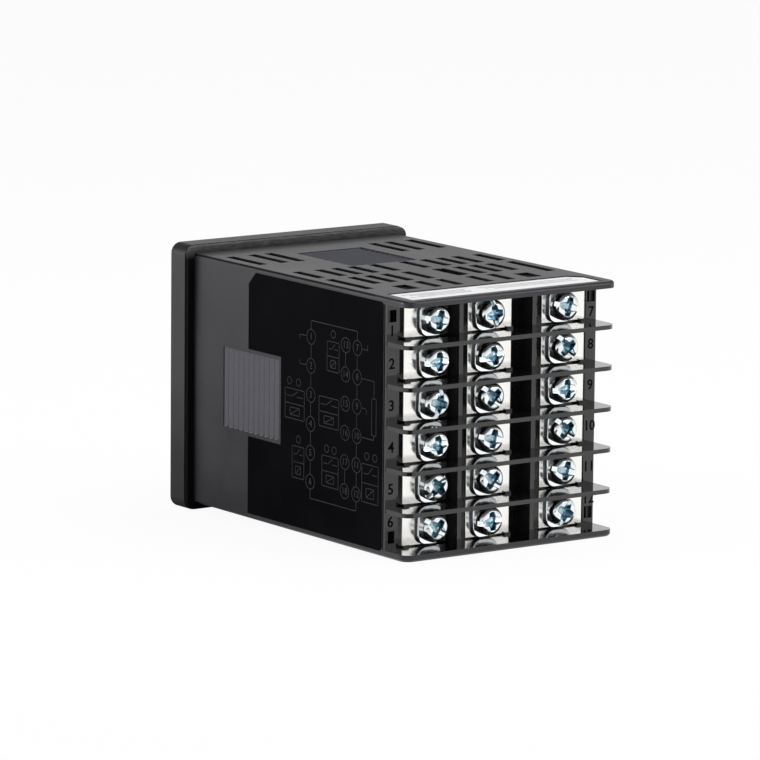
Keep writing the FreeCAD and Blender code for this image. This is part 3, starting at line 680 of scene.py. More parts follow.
def dust_and_sheen_group():
    tree, given, result = new_group("dust_and_painted_sheen", DUST_AND_SHEEN_INPUTS, LOOKS)
    axes = axes_of(given["Vector"])
    risen = remap(axes["Z"], given["Low"], given["High"])
    # Painted shade: less grey over a given length behind the bezel.
    out_of_painted_shade = remap(axes["Y"], 0.0, given["Shelter"], given["Sheltered"], 1.0)
    coverage = math_node("MULTIPLY", risen, out_of_painted_shade)
    scale = add_node(tree, "CombineXYZ", {"X": given["Streak"], "Y": 1.0, "Z": 1.0}).outputs[0]
    spots = noise(stretched(given["Vector"], scale), DUST_AND_SHEEN_GRAIN, 3.0, 0.6)
    uneven = remap(spots, 0.35, 0.65, given["Thinnest"])
    share = math_node("MULTIPLY", coverage, uneven)
    # Dust and painted sheen blended in by height.
    join(blend_colors(share, given["Color"], given["DustAndSheen"]), result, "Color")
    duller = math_node("MULTIPLY", coverage, given["Dull"])
    join(math_node("ADD", given["Roughness"], duller), result, "Roughness")
    return tree


DUST_AND_PAINTED_SHEEN = dust_and_sheen_group()


def lay_dust_and_painted_sheen(material, dust_and_sheen, low, high, streak=1.0, thinnest=0.7, dull=0.0, painted_shade_length=1.0, painted_shade_share=1.0):
    """Dust and painted sheen between two heights, thinner over a length behind the bezel as painted shade,
    all in mm.
    """
    shader, place = parts(material)
    inputs = {"Vector": place, "Color": so_far(shader, "Base Color"), "DustAndSheen": dust_and_sheen}
    inputs["Roughness"] = so_far(shader, "Roughness")
    inputs.update(Low=low * MM, High=high * MM, Streak=streak, Thinnest=thinnest, Dull=dull)
    inputs.update(Shelter=painted_shade_length * MM, Sheltered=painted_shade_share)
    use_group(DUST_AND_PAINTED_SHEEN, shader, inputs)


# The case: dust and a painted sheen on the top, with painted shade over 7.5 mm behind the bezel.
lay_dust_and_painted_sheen(case_plastic, (0.128, 0.128, 0.130, 1), 33.76, 33.79, dull=0.18, painted_shade_length=7.5, painted_shade_share=0.2)
# The bezel: dust and a painted sheen on its top edge.
lay_dust_and_painted_sheen(bezel_plastic, (0.100, 0.100, 0.102, 1), 35.90, 35.98, dull=0.20)
# The gasket: its top painted lighter as light from above, in streaks; its sides stay dark.
lay_dust_and_painted_sheen(gasket_rubber, (0.130, 0.130, 0.127, 1), 32.3, 36.0, streak=0.12, thinnest=0.45)
print("dusty materials:", DUST_AND_PAINTED_SHEEN.users)

# %% [markdown]
# ## Plated metal
# The clamp plates are tinned and the screws and washers are zinc plated, with the faint blue of
# their passivation. Plating is bright but not a mirror: the bath leaves clouds of colour, and
# rolling leaves fine lines that change the gloss. The group makes these for all metals, and with
# darker colours for the transformer's core and the capacitors' cans.

# %% Group and materials of plated metal
ROLLED = (0.08, 1.0, 1.0)
LINE_SCALE = 9.0


def plated_recipe(place, scale):
    clouds = noise(place, scale, 4.0, 0.6)
    lines = noise(stretched(place, ROLLED), math_node("MULTIPLY", scale, LINE_SCALE), 3.0, 0.7)
    return remap(clouds, 0.40, 0.68), remap(lines, 0.35, 0.65), lines


PLATED_METAL = skin_group("plated_metal", plated_recipe)


def plated(name, bright, tint, smooth, rough, cloud_mm=1.6, depth_mm=0.0015):
    return skinned(name, PLATED_METAL, bright, tint, smooth, rough, cloud_mm, depth_mm, Metallic=1.0)


plate_tin = plated("plate_tin", (0.985, 0.972, 0.940, 1), (0.955, 0.942, 0.905, 1), 0.16, 0.20, 3.0, 0.0005)
washer_zinc = plated("washer_zinc", (0.92, 0.94, 0.95, 1), (0.84, 0.88, 0.90, 1), 0.05, 0.11)
bright_zinc = plated("bright_zinc", (0.93, 0.97, 0.98, 1), (0.86, 0.92, 0.95, 1), 0.14, 0.24)
# Dark zinc painted as shade on the washers' sides.
shaded_side_zinc = plated("shaded_side_zinc", (0.10, 0.11, 0.12, 1), (0.06, 0.07, 0.08, 1), 0.25, 0.40)
screw_zinc = plated("screw_zinc", (0.94, 0.975, 0.985, 1), (0.82, 0.89, 0.925, 1), 0.07, 0.14)
# The recess has the blue of the passivation, and is darker as painted shade.
recess_zinc = plated("recess_zinc", (0.46, 0.60, 0.67, 1), (0.20, 0.31, 0.37, 1), 0.08, 0.18, 0.7)
ferrite = plated("ferrite", (0.10, 0.10, 0.105, 1), (0.06, 0.06, 0.065, 1), 0.45, 0.60)
capacitor_can = plated("capacitor_can", (0.10, 0.11, 0.18, 1), (0.07, 0.08, 0.13, 1), 0.25, 0.35)
print("materials of plated metal:", PLATED_METAL.users)

# %% [markdown]
# ## Labels, inks, lamps and tape
# The side label is a black film with a dull face, the strip is a white one with a paper tooth. Inks,
# lamps and the tape of the transformer are thin, even layers too, so they share the recipe: broad,
# faint clouds in colour and gloss, and a fine tooth.

# %% Group and materials of film
FILM_CLOUDS = 60.0
FILM_DEPTH = 0.004


def film_recipe(place, scale):
    clouds = noise(place, FILM_CLOUDS)
    tooth = noise(place, scale, 3.0, 0.6)
    return remap(clouds, 0.35, 0.65), remap(clouds, 0.3, 0.7), tooth


PRINTED_FILM = skin_group("printed_film", film_recipe)


def film(name, base, mottled, smooth, rough, gloss, tooth_mm):
    values = (base, mottled, smooth, rough, tooth_mm, FILM_DEPTH)
    return skinned(name, PRINTED_FILM, *values, **{"Specular IOR Level": gloss})


black_film = film(
    "black_film", (0.0024, 0.0024, 0.0032, 1), (0.0034, 0.0034, 0.0044, 1), 0.30, 0.42, 0.012, 0.3
)
white_film = film("white_film", (0.86, 0.86, 0.87, 1), (0.80, 0.80, 0.81, 1), 0.45, 0.60, 0.4, 0.15)
print_ink = film("print_ink", (0.038, 0.038, 0.041, 1), (0.026, 0.026, 0.029, 1), 0.5, 0.6, 0.1, 0.1)
strip_ink = film("strip_ink", (0.45, 0.46, 0.47, 1), (0.38, 0.39, 0.40, 1), 0.5, 0.6, 0.2, 0.1)
number_ink = film("number_ink", (0.003, 0.003, 0.003, 1), (0.005, 0.005, 0.005, 1), 0.6, 0.75, 0.04, 0.1)
digit_segment = film("digit_segment", (0.42, 0.36, 0.34, 1), (0.36, 0.31, 0.29, 1), 0.35, 0.5, 0.4, 0.2)
lamp_plastic = film("lamp_plastic", (0.36, 0.02, 0.015, 1), (0.28, 0.015, 0.012, 1), 0.18, 0.3, 0.5, 0.2)
winding_tape = film("winding_tape", (0.70, 0.50, 0.06, 1), (0.60, 0.42, 0.05, 1), 0.25, 0.4, 0.5, 0.2)
print("materials of film:", PRINTED_FILM.users)

# %% [markdown]
# ## Boards and lens
# The boards show their copper as lighter tracks under green resist; cells with square corners stand
# for the tracks, because nobody reads a circuit through a vent. The lens is smoked acrylic: a clear
# shader with a dark colour, behind which the unlit digits just show.

# %% Materials of boards and lens
TRACK_SCALE = 320.0
TRACK_DEPTH = 0.02
RESIST_SCALE = 900.0
SMOKE_SCALE = 90.0
ACRYLIC_IOR = 1.49


def board_finish():
    material = new_material("board_green")
    shader, place = parts(material)
    copper = remap(voronoi(place, TRACK_SCALE, distance="MANHATTAN"), 0.30, 0.36)
    color = blend_colors(copper, (0.012, 0.075, 0.035, 1), (0.03, 0.15, 0.06, 1))
    join(color, shader, "Base Color")
    rough = remap(noise(place, RESIST_SCALE), 0.3, 0.7, 0.28, 0.42)
    join(rough, shader, "Roughness")
    bump(shader, copper, TRACK_DEPTH)
    return material


def lens_finish():
    material = new_material("smoked_lens")
    shader, place = parts(material)
    clouds = noise(place, SMOKE_SCALE)
    smoke = blend_colors(clouds, (0.30, 0.22, 0.22, 1), (0.36, 0.27, 0.27, 1))
    join(smoke, shader, "Base Color")
    join(remap(clouds, 0.3, 0.7, 0.03, 0.07), shader, "Roughness")
    shader.inputs["Transmission Weight"].default_value = 1.0
    shader.inputs["IOR"].default_value = ACRYLIC_IOR
    return material


board_green = board_finish()
smoked_lens = lens_finish()
print("materials in all:", len(bpy.data.materials))

# %% [markdown]
# ## Dress the CAD nodes
# Nodes whose shape is already right could be copied and changed, but then looks and solids might
# drift apart. They keep their meshes and only get a better material.

# %% Materials for the CAD nodes
KEYS = range(1, 5)
FINISHES = (
    (bezel_plastic, ["bezel"]),
    (gasket_rubber, ["panel_gasket"]),
    (smoked_lens, ["display_lens"]),
    (case_plastic, ["case"]),
    (block_plastic, ["terminal_block"]),
    (plate_tin, ["terminal_plates"]),
    (black_film, ["side_label"]),
    (white_film, ["strip_label"]),
    (board_green, ["display_board", "power_board", "output_board", "input_board"]),
    (digit_plastic, ["digit_module_count", "digit_module_preset"]),
    (lamp_plastic, ["indicator_lamps"]),
    (chip_plastic, ["controller_chip", "board_headers", "input_optocouplers"]),
    (ferrite, ["transformer_core"]),
    (winding_tape, ["transformer_winding"]),
    (capacitor_can, ["smoothing_capacitors"]),
    (relay_plastic, ["output_relays"]),
    (key_plastic, ["key_%d" % key for key in KEYS]),
    (switch_plastic, ["key_switches"] + ["plunger_%d" % key for key in KEYS]),
)
for finish, names in FINISHES:
    for name in names:
        nodes[name].material_slots[0].material = finish
print("dressed", sum(len(names) for finish, names in FINISHES), "nodes")

# %% [markdown]
# ## Finish a new piece
# Each new piece is a mesh whose place is already in its vertices. It rides on the housing, takes its
# finishes into its own material slots, hides the CAD nodes that it replaces, and is shaded smooth
# except at corners.

# %% Helper that finishes a piece
SHARP_ANGLE = math.radians(32)


def finish_piece(name, mesh, materials, replaced=()):
    indices = [face.material_index for face in mesh.polygons]
    mesh.materials.clear()
    for material in materials:
        mesh.materials.append(material)
    mesh.polygons.foreach_set("material_index", indices)
    mesh.polygons.foreach_set("use_smooth", [True] * len(mesh.polygons))
    mesh.set_sharp_from_angle(angle=SHARP_ANGLE)
    piece = new_object(name, mesh)
    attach(piece, HOUSING)
    if replaced:
        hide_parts(*replaced)
    print("%s: %d faces" % (name, len(mesh.polygons)))


print("corners are sharp from %.0f degrees" % math.degrees(SHARP_ANGLE))

# %% [markdown]
# ## Terminal screws
# Each screw has a tall pan head with a cross and a slot that runs out through the rim. The body is
# a profile turned about its axis with spin, and its rim is rounded with bevel. The slot and the
# cross are cut with Boolean modifiers, because a shaped tool is how the real recess is pressed.
# The tools flare at the top, which leaves a small bevel that catches the light.

# %% Driving sizes of the terminals
COLUMNS = (19.5, 2.0, -21.8)
ROW_PITCH = 10.87
ROWS = 6
HEAD_RADIUS = 3.85
HEAD_TALL = 3.3
HEAD_ROUND = 1.6
SHANK_RADIUS = 1.75
TIP_CHAMFER = 0.6
SCREW_TIP = 79.0
WASHER_FACE = 88.8
HEAD_FACE = WASHER_FACE + HEAD_TALL
ROW_HEIGHTS = [((ROWS - 1) / 2 - row) * ROW_PITCH for row in range(ROWS)]
print("rows at", [round(height, 2) for height in ROW_HEIGHTS])

# %% Screw blank
TURN_STEPS = 48
ROUND_STEPS = 8
MERGED = 0.001
NEAR = 0.01
PROFILE = (
    (0, SCREW_TIP),
    (SHANK_RADIUS - TIP_CHAMFER, SCREW_TIP),
    (SHANK_RADIUS, SCREW_TIP + TIP_CHAMFER),
    (SHANK_RADIUS, WASHER_FACE),
    (HEAD_RADIUS, WASHER_FACE),
    (HEAD_RADIUS, HEAD_FACE),
    (0, HEAD_FACE),
)


def turned(profile):
    """Turns a profile of radius and depth pairs, in millimetres, about the Y axis."""
    bm = bmesh.new()
    points = [bm.verts.new((radius * MM, depth * MM, 0)) for radius, depth in profile]
    edges = [bm.edges.new(pair) for pair in zip(points, points[1:])]
    bmesh.ops.spin(
        bm,
        geom=points + edges,
        cent=(0, 0, 0),
        axis=(0, 1, 0),
        angle=math.tau,
        steps=TURN_STEPS,
        use_merge=True,
    )
    bmesh.ops.remove_doubles(bm, verts=bm.verts, dist=MERGED * MM)
    bmesh.ops.recalc_face_normals(bm, faces=bm.faces)
    return bm


def on_head_rim(vert):
    off_circle = abs(math.hypot(vert.co.x, vert.co.z) - HEAD_RADIUS * MM)
    return max(off_circle, abs(vert.co.y - HEAD_FACE * MM)) <= NEAR * MM


def screw_blank():
    bm = turned(PROFILE)
    rim = [edge for edge in bm.edges if all(on_head_rim(vert) for vert in edge.verts)]
    bevel(bm, rim, HEAD_ROUND, ROUND_STEPS)
    return mesh_from(bm, "screw_blank")


blank = screw_blank()
print("blank with", len(blank.polygons), "faces")

# %% Cutting tools
SLOT_WIDE = 1.25
SLOT_DEEP = 1.4
STAR_REACH = 2.55
STAR_WAIST = 0.56
STAR_DEEP = 2.1
STAR_TAPER = 0.72
ARMS = 4
FLARE_SIDE = 0.3
FLARE_DEEP = 0.14
BRIGHT = 0
# The cross's faces take the recess colour, darker as painted shade.
SHADED_RECESS = 1
SCREW_FINISHES = [screw_zinc, recess_zinc]
FACE_TO_REAR = Matrix.Rotation(math.radians(-90), 3, "X")


def tool_mesh(bm, name, deep, taper, finish):
    """Makes a cutting tool of a flat outline: it narrows below the head's face and flares above it."""
    outline = bm.verts[:]
    reach = max(vert.co.length for vert in outline)
    bmesh.ops.rotate(bm, verts=outline, matrix=FACE_TO_REAR)
    move(bm, outline, 0, HEAD_FACE - FLARE_DEEP, 0)
    wider = (reach + 2 * FLARE_SIDE * MM) / reach
    for rise, scale in ((-deep, taper), (2 * FLARE_DEEP, wider)):
        edges = [edge for edge in bm.edges if edge.verts[0] in outline and edge.verts[1] in outline]
        moved = verts_in(bmesh.ops.extrude_edge_only(bm, edges=edges)["geom"])
        bmesh.ops.scale(bm, verts=moved, vec=(scale, 1.0, scale))
        move(bm, moved, 0, rise, 0)
    bmesh.ops.holes_fill(bm, edges=bm.edges[:])
    bmesh.ops.recalc_face_normals(bm, faces=bm.faces)
    mesh = mesh_from(bm, name)
    for material in SCREW_FINISHES:
        mesh.materials.append(material)
    mesh.polygons.foreach_set("material_index", [finish] * len(mesh.polygons))
    return mesh


def star_tool():
    """Four blunt arms with hollow sides between them, as a cross driver's tip has."""
    bm = bmesh.new()
    bmesh.ops.create_circle(bm, segments=3 * ARMS, radius=STAR_REACH * MM)
    bmesh.ops.rotate(bm, verts=bm.verts, matrix=Matrix.Rotation(math.pi / (3 * ARMS), 3, "Z"))
    for vert in bm.verts:
        if abs(abs(vert.co.x) - abs(vert.co.y)) < NEAR * MM:
            vert.co *= STAR_WAIST
    return tool_mesh(bm, "star_tool", STAR_DEEP, STAR_TAPER, SHADED_RECESS)


def slot_tool():
    """A bar that is longer than the head is wide."""
    bm = bmesh.new()
    bmesh.ops.create_circle(bm, segments=4, radius=math.sqrt(0.5))
    bmesh.ops.rotate(bm, verts=bm.verts, matrix=Matrix.Rotation(math.pi / 4, 3, "Z"))
    bmesh.ops.scale(bm, verts=bm.verts, vec=(3 * HEAD_RADIUS * MM, SLOT_WIDE * MM, 1.0))
    return tool_mesh(bm, "slot_tool", SLOT_DEEP, 1.0, BRIGHT)


tools = [slot_tool(), star_tool()]
print("tools:", [tool.name for tool in tools])


# %% Carved screw
def carve(mesh, tools):
    """Cuts the tools out of a mesh and returns the result as a new mesh."""
    target = new_object("carving", mesh)
    helpers = [new_object(tool.name, tool) for tool in tools]
    for helper in helpers:
        cut = target.modifiers.new("cut", "BOOLEAN")
        cut.object = helper
        cut.operation = "DIFFERENCE"
        cut.solver = "EXACT"
    carved = shaped_mesh(target)
    for helper in helpers + [target]:
        bpy.data.objects.remove(helper)
    return carved


for material in SCREW_FINISHES:
    blank.materials.append(material)
screw_mesh = carve(blank, tools)
print("carved screw with", len(screw_mesh.polygons), "faces")

# %% Eighteen screws, each stopped at its own angle
HEAD_TURNS = (-11, 3, 76, 10, 41, -37, -81, 11, -44, -12, -40, 5, -15, -52, 3, -46, -14, 63)


def repeated(mesh, name, turns):
    """Copies of a mesh at all terminals, each turned about its axis by its own angle in degrees."""
    bm = bmesh.new()
    places = [(across, height) for across in COLUMNS for height in ROW_HEIGHTS]
    for (across, height), turn in zip(places, turns):
        copy = mesh.copy()
        shift = Matrix.Translation((across * MM, 0, height * MM))
        copy.transform(shift @ Matrix.Rotation(math.radians(turn), 4, "Y"))
        bm.from_mesh(copy)
        bpy.data.meshes.remove(copy)
    return mesh_from(bm, name)


screws = repeated(screw_mesh, "slotted_screws", HEAD_TURNS)
finish_piece("slotted_screws", screws, SCREW_FINISHES, ["terminal_screws"])

# %% [markdown]
# ## Square washers
# Under each head sits a stamped square washer with round corners. Stamping draws its upper edge
# down into a soft curve and shears the side below it, so the outline is bevelled twice: once at its
# corners and once along its upper edge. The flat face is bright and smooth, the drawn edge has a
# softer gloss, and the side is painted dark as shade, which sets the washer off from the pale plate.

# %% Washers
WASHER_WIDE = 8.0
WASHER_TALL = 9.2
WASHER_CORNER = 2.6
WASHER_THICK = 1.0
WASHER_DRAW = 0.3
WASHER_HOLE = 1.95
OUTER = 1.5 * WASHER_HOLE
CORNER_STEPS = 7
DRAW_STEPS = 4
STEEP = math.radians(60)
UPRIGHT = 0.1
DRAWN = 1
SHADED_SIDE = 2


def on_upper_rim(edge):
    high = all(vert.co.z > 0.5 * WASHER_THICK * MM for vert in edge.verts)
    outer = all(vert.co.length > OUTER * MM for vert in edge.verts)
    return high and outer and edge.calc_face_angle(0) > STEEP


def washer_mesh():
    bm = bmesh.new()
    corners = bmesh.ops.create_grid(bm, x_segments=1, y_segments=1, size=0.5)["verts"]
    bmesh.ops.scale(bm, verts=bm.verts, vec=(WASHER_WIDE * MM, WASHER_TALL * MM, 1.0))
    bevel(bm, corners, WASHER_CORNER, CORNER_STEPS, affect="VERTICES")
    bmesh.ops.delete(bm, geom=bm.faces[:], context="FACES_ONLY")
    bmesh.ops.create_circle(bm, segments=len(bm.verts), radius=WASHER_HOLE * MM)
    bmesh.ops.bridge_loops(bm, edges=bm.edges[:])
    raised = verts_in(bmesh.ops.extrude_face_region(bm, geom=bm.faces[:])["geom"])
    move(bm, raised, 0, 0, WASHER_THICK)
    bmesh.ops.recalc_face_normals(bm, faces=bm.faces)
    drawn = bevel(bm, [edge for edge in bm.edges if on_upper_rim(edge)], WASHER_DRAW, DRAW_STEPS)
    # The side faces take the dark zinc, as painted shade.
    for face in bm.faces:
        outer = face.calc_center_median().xy.length > OUTER * MM
        if outer and abs(face.normal.z) < UPRIGHT:
            face.material_index = SHADED_SIDE
    for face in drawn:
        face.material_index = DRAWN
    bmesh.ops.rotate(bm, verts=bm.verts, matrix=FACE_TO_REAR)
    move(bm, bm.verts, 0, WASHER_FACE - WASHER_THICK, 0)
    return mesh_from(bm, "washer")


washer = washer_mesh()
print("washer with", len(washer.polygons), "faces")

# %% Eighteen washers, each with a little play
WASHER_PLAY = 3.0
PLAY_STEP = 2.4
washer_turns = [WASHER_PLAY * math.sin(PLAY_STEP * index) for index in range(len(COLUMNS) * ROWS)]
washers = repeated(washer, "stamped_washers", washer_turns)
washer_finishes = [washer_zinc, bright_zinc, shaded_side_zinc]
finish_piece("stamped_washers", washers, washer_finishes, ["square_washers"])

# %% [markdown]
# ## Frames of painted shade round the vents
# In the photograph the vents look bolder than the slots of the solids are wide. The case's own mesh
# isn't changed, so a dull black frame of painted shade is laid round the mouth of each slot. It is a
# frame: a grid of one cell, inset, without its middle, and as thick as a film of ink.

# %% Frames of painted shade round the vents
INK_THICK = 0.04
VENT_WIDE = 1.9
SHADE_FRAME_WIDE = 0.27
# Each row of vents: its front and rear edge, and how far its vents are from the middle.
VENT_ROWS = (
    (10.3, 25.6, (17.0, 22.2, 29.2)),
    (41.2, 52.4, (4.9, 11.7, 17.0, 22.2, 29.2)),
    (56.2, 67.8, (4.9, 11.7, 17.0, 22.2)),
    (56.2, 74.3, (29.2,)),
    (71.2, 80.3, (4.9, 11.7)),
)


def add_shade_frame(bm, across, front, rear, level):
    """A flat frame of painted shade round one vent, whose middle line is at across, on the face at the
    given level.
    """
    corners = bmesh.ops.create_grid(bm, x_segments=1, y_segments=1, size=0.5)["verts"]
    size = Vector((VENT_WIDE + 2 * SHADE_FRAME_WIDE, rear - front + 2 * SHADE_FRAME_WIDE, 1.0)) * MM
    bmesh.ops.scale(bm, verts=corners, vec=size)
    move(bm, corners, across, (front + rear) / 2, level)
    mouth = corners[0].link_faces[0]
    bmesh.ops.inset_individual(bm, faces=[mouth], thickness=SHADE_FRAME_WIDE * MM, use_even_offset=True)
    bmesh.ops.delete(bm, geom=[mouth], context="FACES")


# Frames of painted shade round the mouths of the vents, on top and bottom.
shade_frames_bm = bmesh.new()
for front, rear, columns in VENT_ROWS:
    for across in columns:
        for side in (1, -1):
            for level in (BODY_HALF + INK_THICK, -BODY_HALF):
                add_shade_frame(shade_frames_bm, side * across, front, rear, level)
bmesh.ops.solidify(shade_frames_bm, geom=shade_frames_bm.faces[:], thickness=INK_THICK * MM)
bmesh.ops.recalc_face_normals(shade_frames_bm, faces=shade_frames_bm.faces)
finish_piece("vent_shade_frames", mesh_from(shade_frames_bm, "vent_shade_frames"), [vent_shade_black])

# %% [markdown]
# ## Terminal numbers
# The terminals are numbered in dark ink: on the strips at both sides, and on the base between the
# middle plates and their rib. Text objects give clean figures; each is made a mesh, given its
# place, and joined to the others. The numbers at the ends of the strips move in, clear of the pockets.

# %% Text of ink
FACING_REAR = Matrix(((-1, 0, 0), (0, 0, 1), (0, 1, 0))).to_4x4()
FACING_RIGHT = Matrix(((0, 0, 1), (1, 0, 0), (0, 1, 0))).to_4x4()


def text_mesh(text, tall, bold):
    """A flat text as a thin mesh, centred on the origin and facing +Z."""
    curve = bpy.data.curves.new("figure", "FONT")
    curve.body = text
    curve.size = tall * MM
    curve.align_x = "CENTER"
    curve.align_y = "CENTER"
    curve.extrude = INK_THICK / 2 * MM
    curve.offset = bold * MM
    curve.resolution_u = 3
    writer = new_object("figure", curve)
    mesh = shaped_mesh(writer)
    bpy.data.objects.remove(writer)
    return mesh


def place_text(bm, text, tall, facing, place, bold=0.0):
    mesh = text_mesh(text, tall, bold)
    mesh.transform(Matrix.Translation(Vector(place) * MM) @ facing)
    bm.from_mesh(mesh)
    bpy.data.meshes.remove(mesh)


print("ink is %.2f mm thick" % INK_THICK)

# %% Numbers beside the terminals
STRIP_FACE = 88.2
BASE_FACE = 86.8
END_SHIFT = 2.3
BOLD = 0.06
# Each column: its first number, height of figures, place across, drop, face, shift at the ends, boldness.
NUMBERED = (
    (1, 3.9, 31.9, 0.0, STRIP_FACE, END_SHIFT, BOLD),
    (7, 3.8, -32.0, 0.4, STRIP_FACE, END_SHIFT, BOLD),
    (13, 2.6, -8.5, 0.0, BASE_FACE, 0.0, 0.0),
)
numbers_bm = bmesh.new()
for first, tall, across, drop, face, shift, bold in NUMBERED:
    inward = {0: -shift, ROWS - 1: shift}
    for row, height in enumerate(ROW_HEIGHTS):
        place = (across, face + INK_THICK / 2, height + inward.get(row, 0) - drop)
        place_text(numbers_bm, str(first + row), tall, FACING_REAR, place, bold)
numbers = mesh_from(numbers_bm, "terminal_numbers")
finish_piece("terminal_numbers", numbers, [number_ink])

# %% [markdown]
# ## Print on the side label
# The label carries a wiring plan: numbered circles for the terminals, lines that join them, and
# boxes with plain contact signs. It is drawn with rings and bars that are a film of ink thick and
# lie on the label, so it stays crisp from any distance. The rings come from a circle that is
# extruded and scaled, the bars from scaled cubes.

# %% Rings and bars of ink
LINE_WIDE = 0.20
RING_STEPS = 40
label_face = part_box("side_label")[1].x / MM


def slab(bm, *size):
    """The points of a box about the origin, with its size in millimetres."""
    verts = bmesh.ops.create_cube(bm, size=1.0)["verts"]
    bmesh.ops.scale(bm, verts=verts, vec=Vector(size) * MM)
    return verts


def ink_bar(bm, start, end):
    """A straight line of ink between two points of the label, given as depth and height."""
    run = Vector(end) - Vector(start)
    bar = slab(bm, INK_THICK, run.length + LINE_WIDE, LINE_WIDE)
    bmesh.ops.rotate(bm, verts=bar, matrix=Matrix.Rotation(math.atan2(run.y, run.x), 3, "X"))
    move(bm, bar, label_face + INK_THICK / 2, *(Vector(start) + run / 2))


def ink_ring(bm, place, radius):
    """A flat ring of ink round a point of the label."""
    hole = radius - LINE_WIDE / 2
    inner = bmesh.ops.create_circle(bm, segments=RING_STEPS, radius=hole * MM)["verts"]
    inner_edges = list({edge for vert in inner for edge in vert.link_edges})
    grown = bmesh.ops.extrude_edge_only(bm, edges=inner_edges)["geom"]
    outer = verts_in(grown)
    swell = (radius + LINE_WIDE / 2) / hole
    bmesh.ops.scale(bm, verts=outer, vec=(swell, swell, 1.0))
    flat = [item for item in grown if isinstance(item, bmesh.types.BMFace)]
    top = verts_in(bmesh.ops.extrude_face_region(bm, geom=flat)["geom"])
    move(bm, top, 0, 0, INK_THICK)
    whole = inner + outer + top
    bmesh.ops.transform(bm, matrix=FACING_RIGHT, verts=whole)
    move(bm, whole, label_face, *place)


def ink_box(bm, front, rear, low, high):
    corners = [(front, low), (rear, low), (rear, high), (front, high)]
    for start, end in zip(corners, corners[1:] + corners[:1]):
        ink_bar(bm, start, end)


print("label face at %.2f mm" % label_face)

# %% Circles and lines of the plan
# Each column of the plan: its depth, its first number, and the pairs of rows that a line joins.
PLAN = (
    (55.0, 1, (0, 1, 2, 3, 4)),
    (70.6, 13, (0, 4)),
    (75.8, 7, (0, 1, 2, 3, 4)),
)
PLAN_TOP = 19.0
PLAN_PITCH = 7.66
PLAN_FIGURE = 2.6
RING_RADIUS = 1.95
plan_rows = [PLAN_TOP - row * PLAN_PITCH for row in range(ROWS)]
# Each bracket: its level and the circle's edge that it runs to.
BRACKETS = ((23.3, plan_rows[0] + RING_RADIUS), (-23.7, plan_rows[-1] - RING_RADIUS))
plan_bm = bmesh.new()
for depth, first, pairs in PLAN:
    for row, height in enumerate(plan_rows):
        ink_ring(plan_bm, (depth, height), RING_RADIUS)
        centre = (label_face + INK_THICK / 2, depth, height)
        place_text(plan_bm, str(first + row), PLAN_FIGURE, FACING_RIGHT, centre)
    for row in pairs:
        ink_bar(plan_bm, (depth, plan_rows[row] - RING_RADIUS), (depth, plan_rows[row + 1] + RING_RADIUS))
near, far = PLAN[0][0], PLAN[-1][0]
for level, edge in BRACKETS:
    ink_bar(plan_bm, (near, level), (far, level))
    for depth in (near, far):
        ink_bar(plan_bm, (depth, level), (depth, edge))
print("plan circles and lines:", len(plan_bm.faces), "faces")

# %% Signs of the plan
SIGN_INSET = 0.8
BLADE_RISE = 0.35


def lead(bm, depth, height, out, tick):
    """A line that leaves a terminal's circle and ends in a short tick."""
    end = depth + out
    ink_bar(bm, (depth + math.copysign(RING_RADIUS, out), height), (end, height))
    ink_bar(bm, (end, height), (end, height + tick))


def contact_sign(bm, front, rear, low, high):
    """A switch contact: two terminals and a blade that stands off one of them."""
    middle = (low + high) / 2
    third = (rear - front) / 3
    ink_bar(bm, (front, middle), (front + third, middle))
    ink_bar(bm, (front + third, middle), (rear - third, middle + BLADE_RISE * (high - low)))
    ink_bar(bm, (rear - third, middle), (rear, middle))


def coil_sign(bm, front, rear, low, high):
    """A coil: a small box with a slanting line."""
    inset = (rear - front) / 5
    rise = (high - low) / 4
    ink_box(bm, front + inset, rear - inset, low + rise, high - rise)
    ink_bar(bm, (front + inset, low + rise), (rear - inset, high - rise))


def contact_box(bm, front, rear, low, high):
    """A box with a contact above a coil, as a plan shows a relay."""
    middle = (low + high) / 2
    ink_box(bm, front, rear, low, high)
    ink_bar(bm, (front, middle), (rear, middle))
    contact_sign(bm, front + SIGN_INSET, rear - SIGN_INSET, middle, high)
    coil_sign(bm, front + SIGN_INSET, rear - SIGN_INSET, low, middle)


print("signs are inset by %.1f mm" % SIGN_INSET)

# %% Leads, boxes and rings in their places
# Each lead: the depth of its column, its row, how far it runs out, and its tick.
LEADS = (
    (near, 0, -5.2, -1.0),
    (near, 1, -5.2, 1.0),
    (far, 0, 4.6, 1.2),
    (far, 1, 7.6, -4.5),
    (far, 2, 4.2, -1.4),
    (far, 3, 7.6, 1.2),
)
# Each box: its front, rear, lower and upper edge.
PLAIN_BOX = (82.4, 84.4, -2.8, 6.8)
CONTACT_BOXES = (
    (43.3, 52.1, -3.8, 4.1),
    (58.8, 67.7, -3.8, 4.1),
    (62.3, 67.7, 11.2, 19.0),
    (46.7, 52.1, -19.3, -10.9),
    (60.3, 67.7, -19.4, -11.3),
    (78.3, 85.6, -20.7, -10.7),
)
LAMP_RADIUS = 0.95
LAMPS = (
    (45.2, 6.1), (49.4, 6.1), (65.0, 21.0), (49.5, -9.0),
    (62.4, -9.4), (65.8, -9.4), (80.4, -8.6), (84.0, -8.6),
)
for depth, row, out, tick in LEADS:
    lead(plan_bm, depth, plan_rows[row], out, tick)
ink_box(plan_bm, *PLAIN_BOX)
for edges in CONTACT_BOXES:
    contact_box(plan_bm, *edges)
for place in LAMPS:
    ink_ring(plan_bm, place, LAMP_RADIUS)
finish_piece("wiring_plan", mesh_from(plan_bm, "wiring_plan"), [print_ink])

# %% [markdown]
# ## Marks on the white strip
# The strip has two groups of pale grey lines. They are thin slabs of ink: plain shapes without words.

